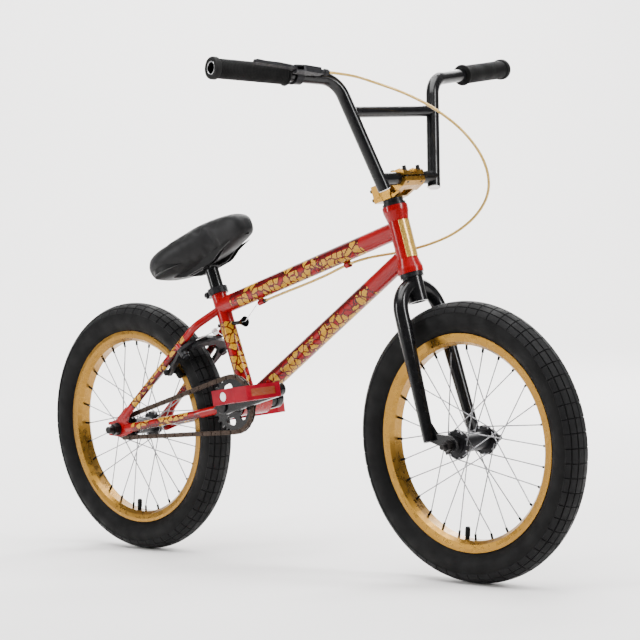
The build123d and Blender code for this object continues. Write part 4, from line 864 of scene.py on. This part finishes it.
camera_data = bpy.data.cameras.new("studio_camera")
camera_data.sensor_width = 36.0
camera_data.lens = 128.86
camera = bpy.data.objects.new("studio_camera", camera_data)
bpy.context.scene.collection.objects.link(camera)
forward = (CAMERA_TARGET - CAMERA_PLACE).normalized()
level_right = forward.cross(Vector((0, 0, 1))).normalized()
level_up = level_right.cross(forward)
camera_right = level_right * cos(CAMERA_ROLL) + level_up * sin(CAMERA_ROLL)
camera_up = level_up * cos(CAMERA_ROLL) - level_right * sin(CAMERA_ROLL)
turn = Matrix((camera_right, camera_up, -forward)).transposed().to_4x4()
camera.matrix_world = Matrix.Translation(CAMERA_PLACE) @ turn
camera_data.clip_end = 100.0
bpy.context.scene.camera = camera

backdrop = Finish("studio_paper", (0.80, 0.785, 0.775), 0.9)
paper = backdrop.mix(backdrop.noise(0.8, 2.0), (0.80, 0.785, 0.775), (0.83, 0.815, 0.805))
backdrop.feed("Base Color", paper)
clear_selection()
FLOOR_SIZE = 24.0
BACK_REACH = 7.5
BACK_HEIGHT = 10.0
SWEEP_RADIUS = 3.0
SWEEP_TURN = radians(44.3)
bpy.ops.mesh.primitive_plane_add(size=FLOOR_SIZE, location=(0, BACK_REACH - FLOOR_SIZE / 2, 0))
sweep = begin("studio_floor")
bpy.ops.object.mode_set(mode="OBJECT")
bpy.ops.object.transform_apply(location=True)
bpy.ops.object.mode_set(mode="EDIT")
pick(sweep, "EDGE", lambda a, b: min(a.y, b.y) > BACK_REACH - 0.01)
bpy.ops.mesh.extrude_region_move(TRANSFORM_OT_translate={"value": (0, 0, BACK_HEIGHT)})
pick(sweep, "EDGE", lambda a, b: min(a.y, b.y) > BACK_REACH - 0.01 and max(a.z, b.z) < 0.01)
bpy.ops.mesh.bevel(offset=SWEEP_RADIUS, segments=24, affect="EDGES")
bpy.ops.object.mode_set(mode="OBJECT")
sweep.rotation_euler = (0, 0, SWEEP_TURN)
bpy.ops.object.transform_apply(rotation=True)
for face in sweep.data.polygons:
    face.use_smooth = True
sweep.data.materials.append(backdrop.material)


def softbox(name, place, aim, size, power):
    """Rectangular lamp aimed at a point."""
    lamp = bpy.data.lights.new(name, "AREA")
    lamp.shape = "RECTANGLE"
    lamp.size, lamp.size_y = size
    lamp.energy = power
    holder = bpy.data.objects.new(name, lamp)
    bpy.context.scene.collection.objects.link(holder)
    holder.location = place
    holder.rotation_mode = "QUATERNION"
    holder.rotation_quaternion = (Vector(aim) - Vector(place)).to_track_quat("-Z", "Y")


softbox("overhead", (0.2, -0.4, 3.4), (0, 0, 0.4), (3.0, 3.0), 290)
softbox("strip_right", (3.4, 0.8, 2.2), (0.2, 0, 0.4), (0.5, 2.4), 150)
softbox("strip_left", (-2.2, -3.4, 1.6), (0, 0, 0.4), (0.5, 2.2), 120)
softbox("rim_back", (-1.0, 3.4, 2.4), (0, 0, 0.5), (2.4, 1.6), 120)
softbox("paper_light", (-2.45, 2.45, 5.5), (-5.3, 5.3, 1.2), (5.0, 2.0), 1300)

world = bpy.data.worlds.new("studio_air")
bpy.context.scene.world = world
world.use_nodes = True
world.node_tree.nodes["Background"].inputs["Color"].default_value = (0.95, 0.94, 0.93, 1)
world.node_tree.nodes["Background"].inputs["Strength"].default_value = 0.20
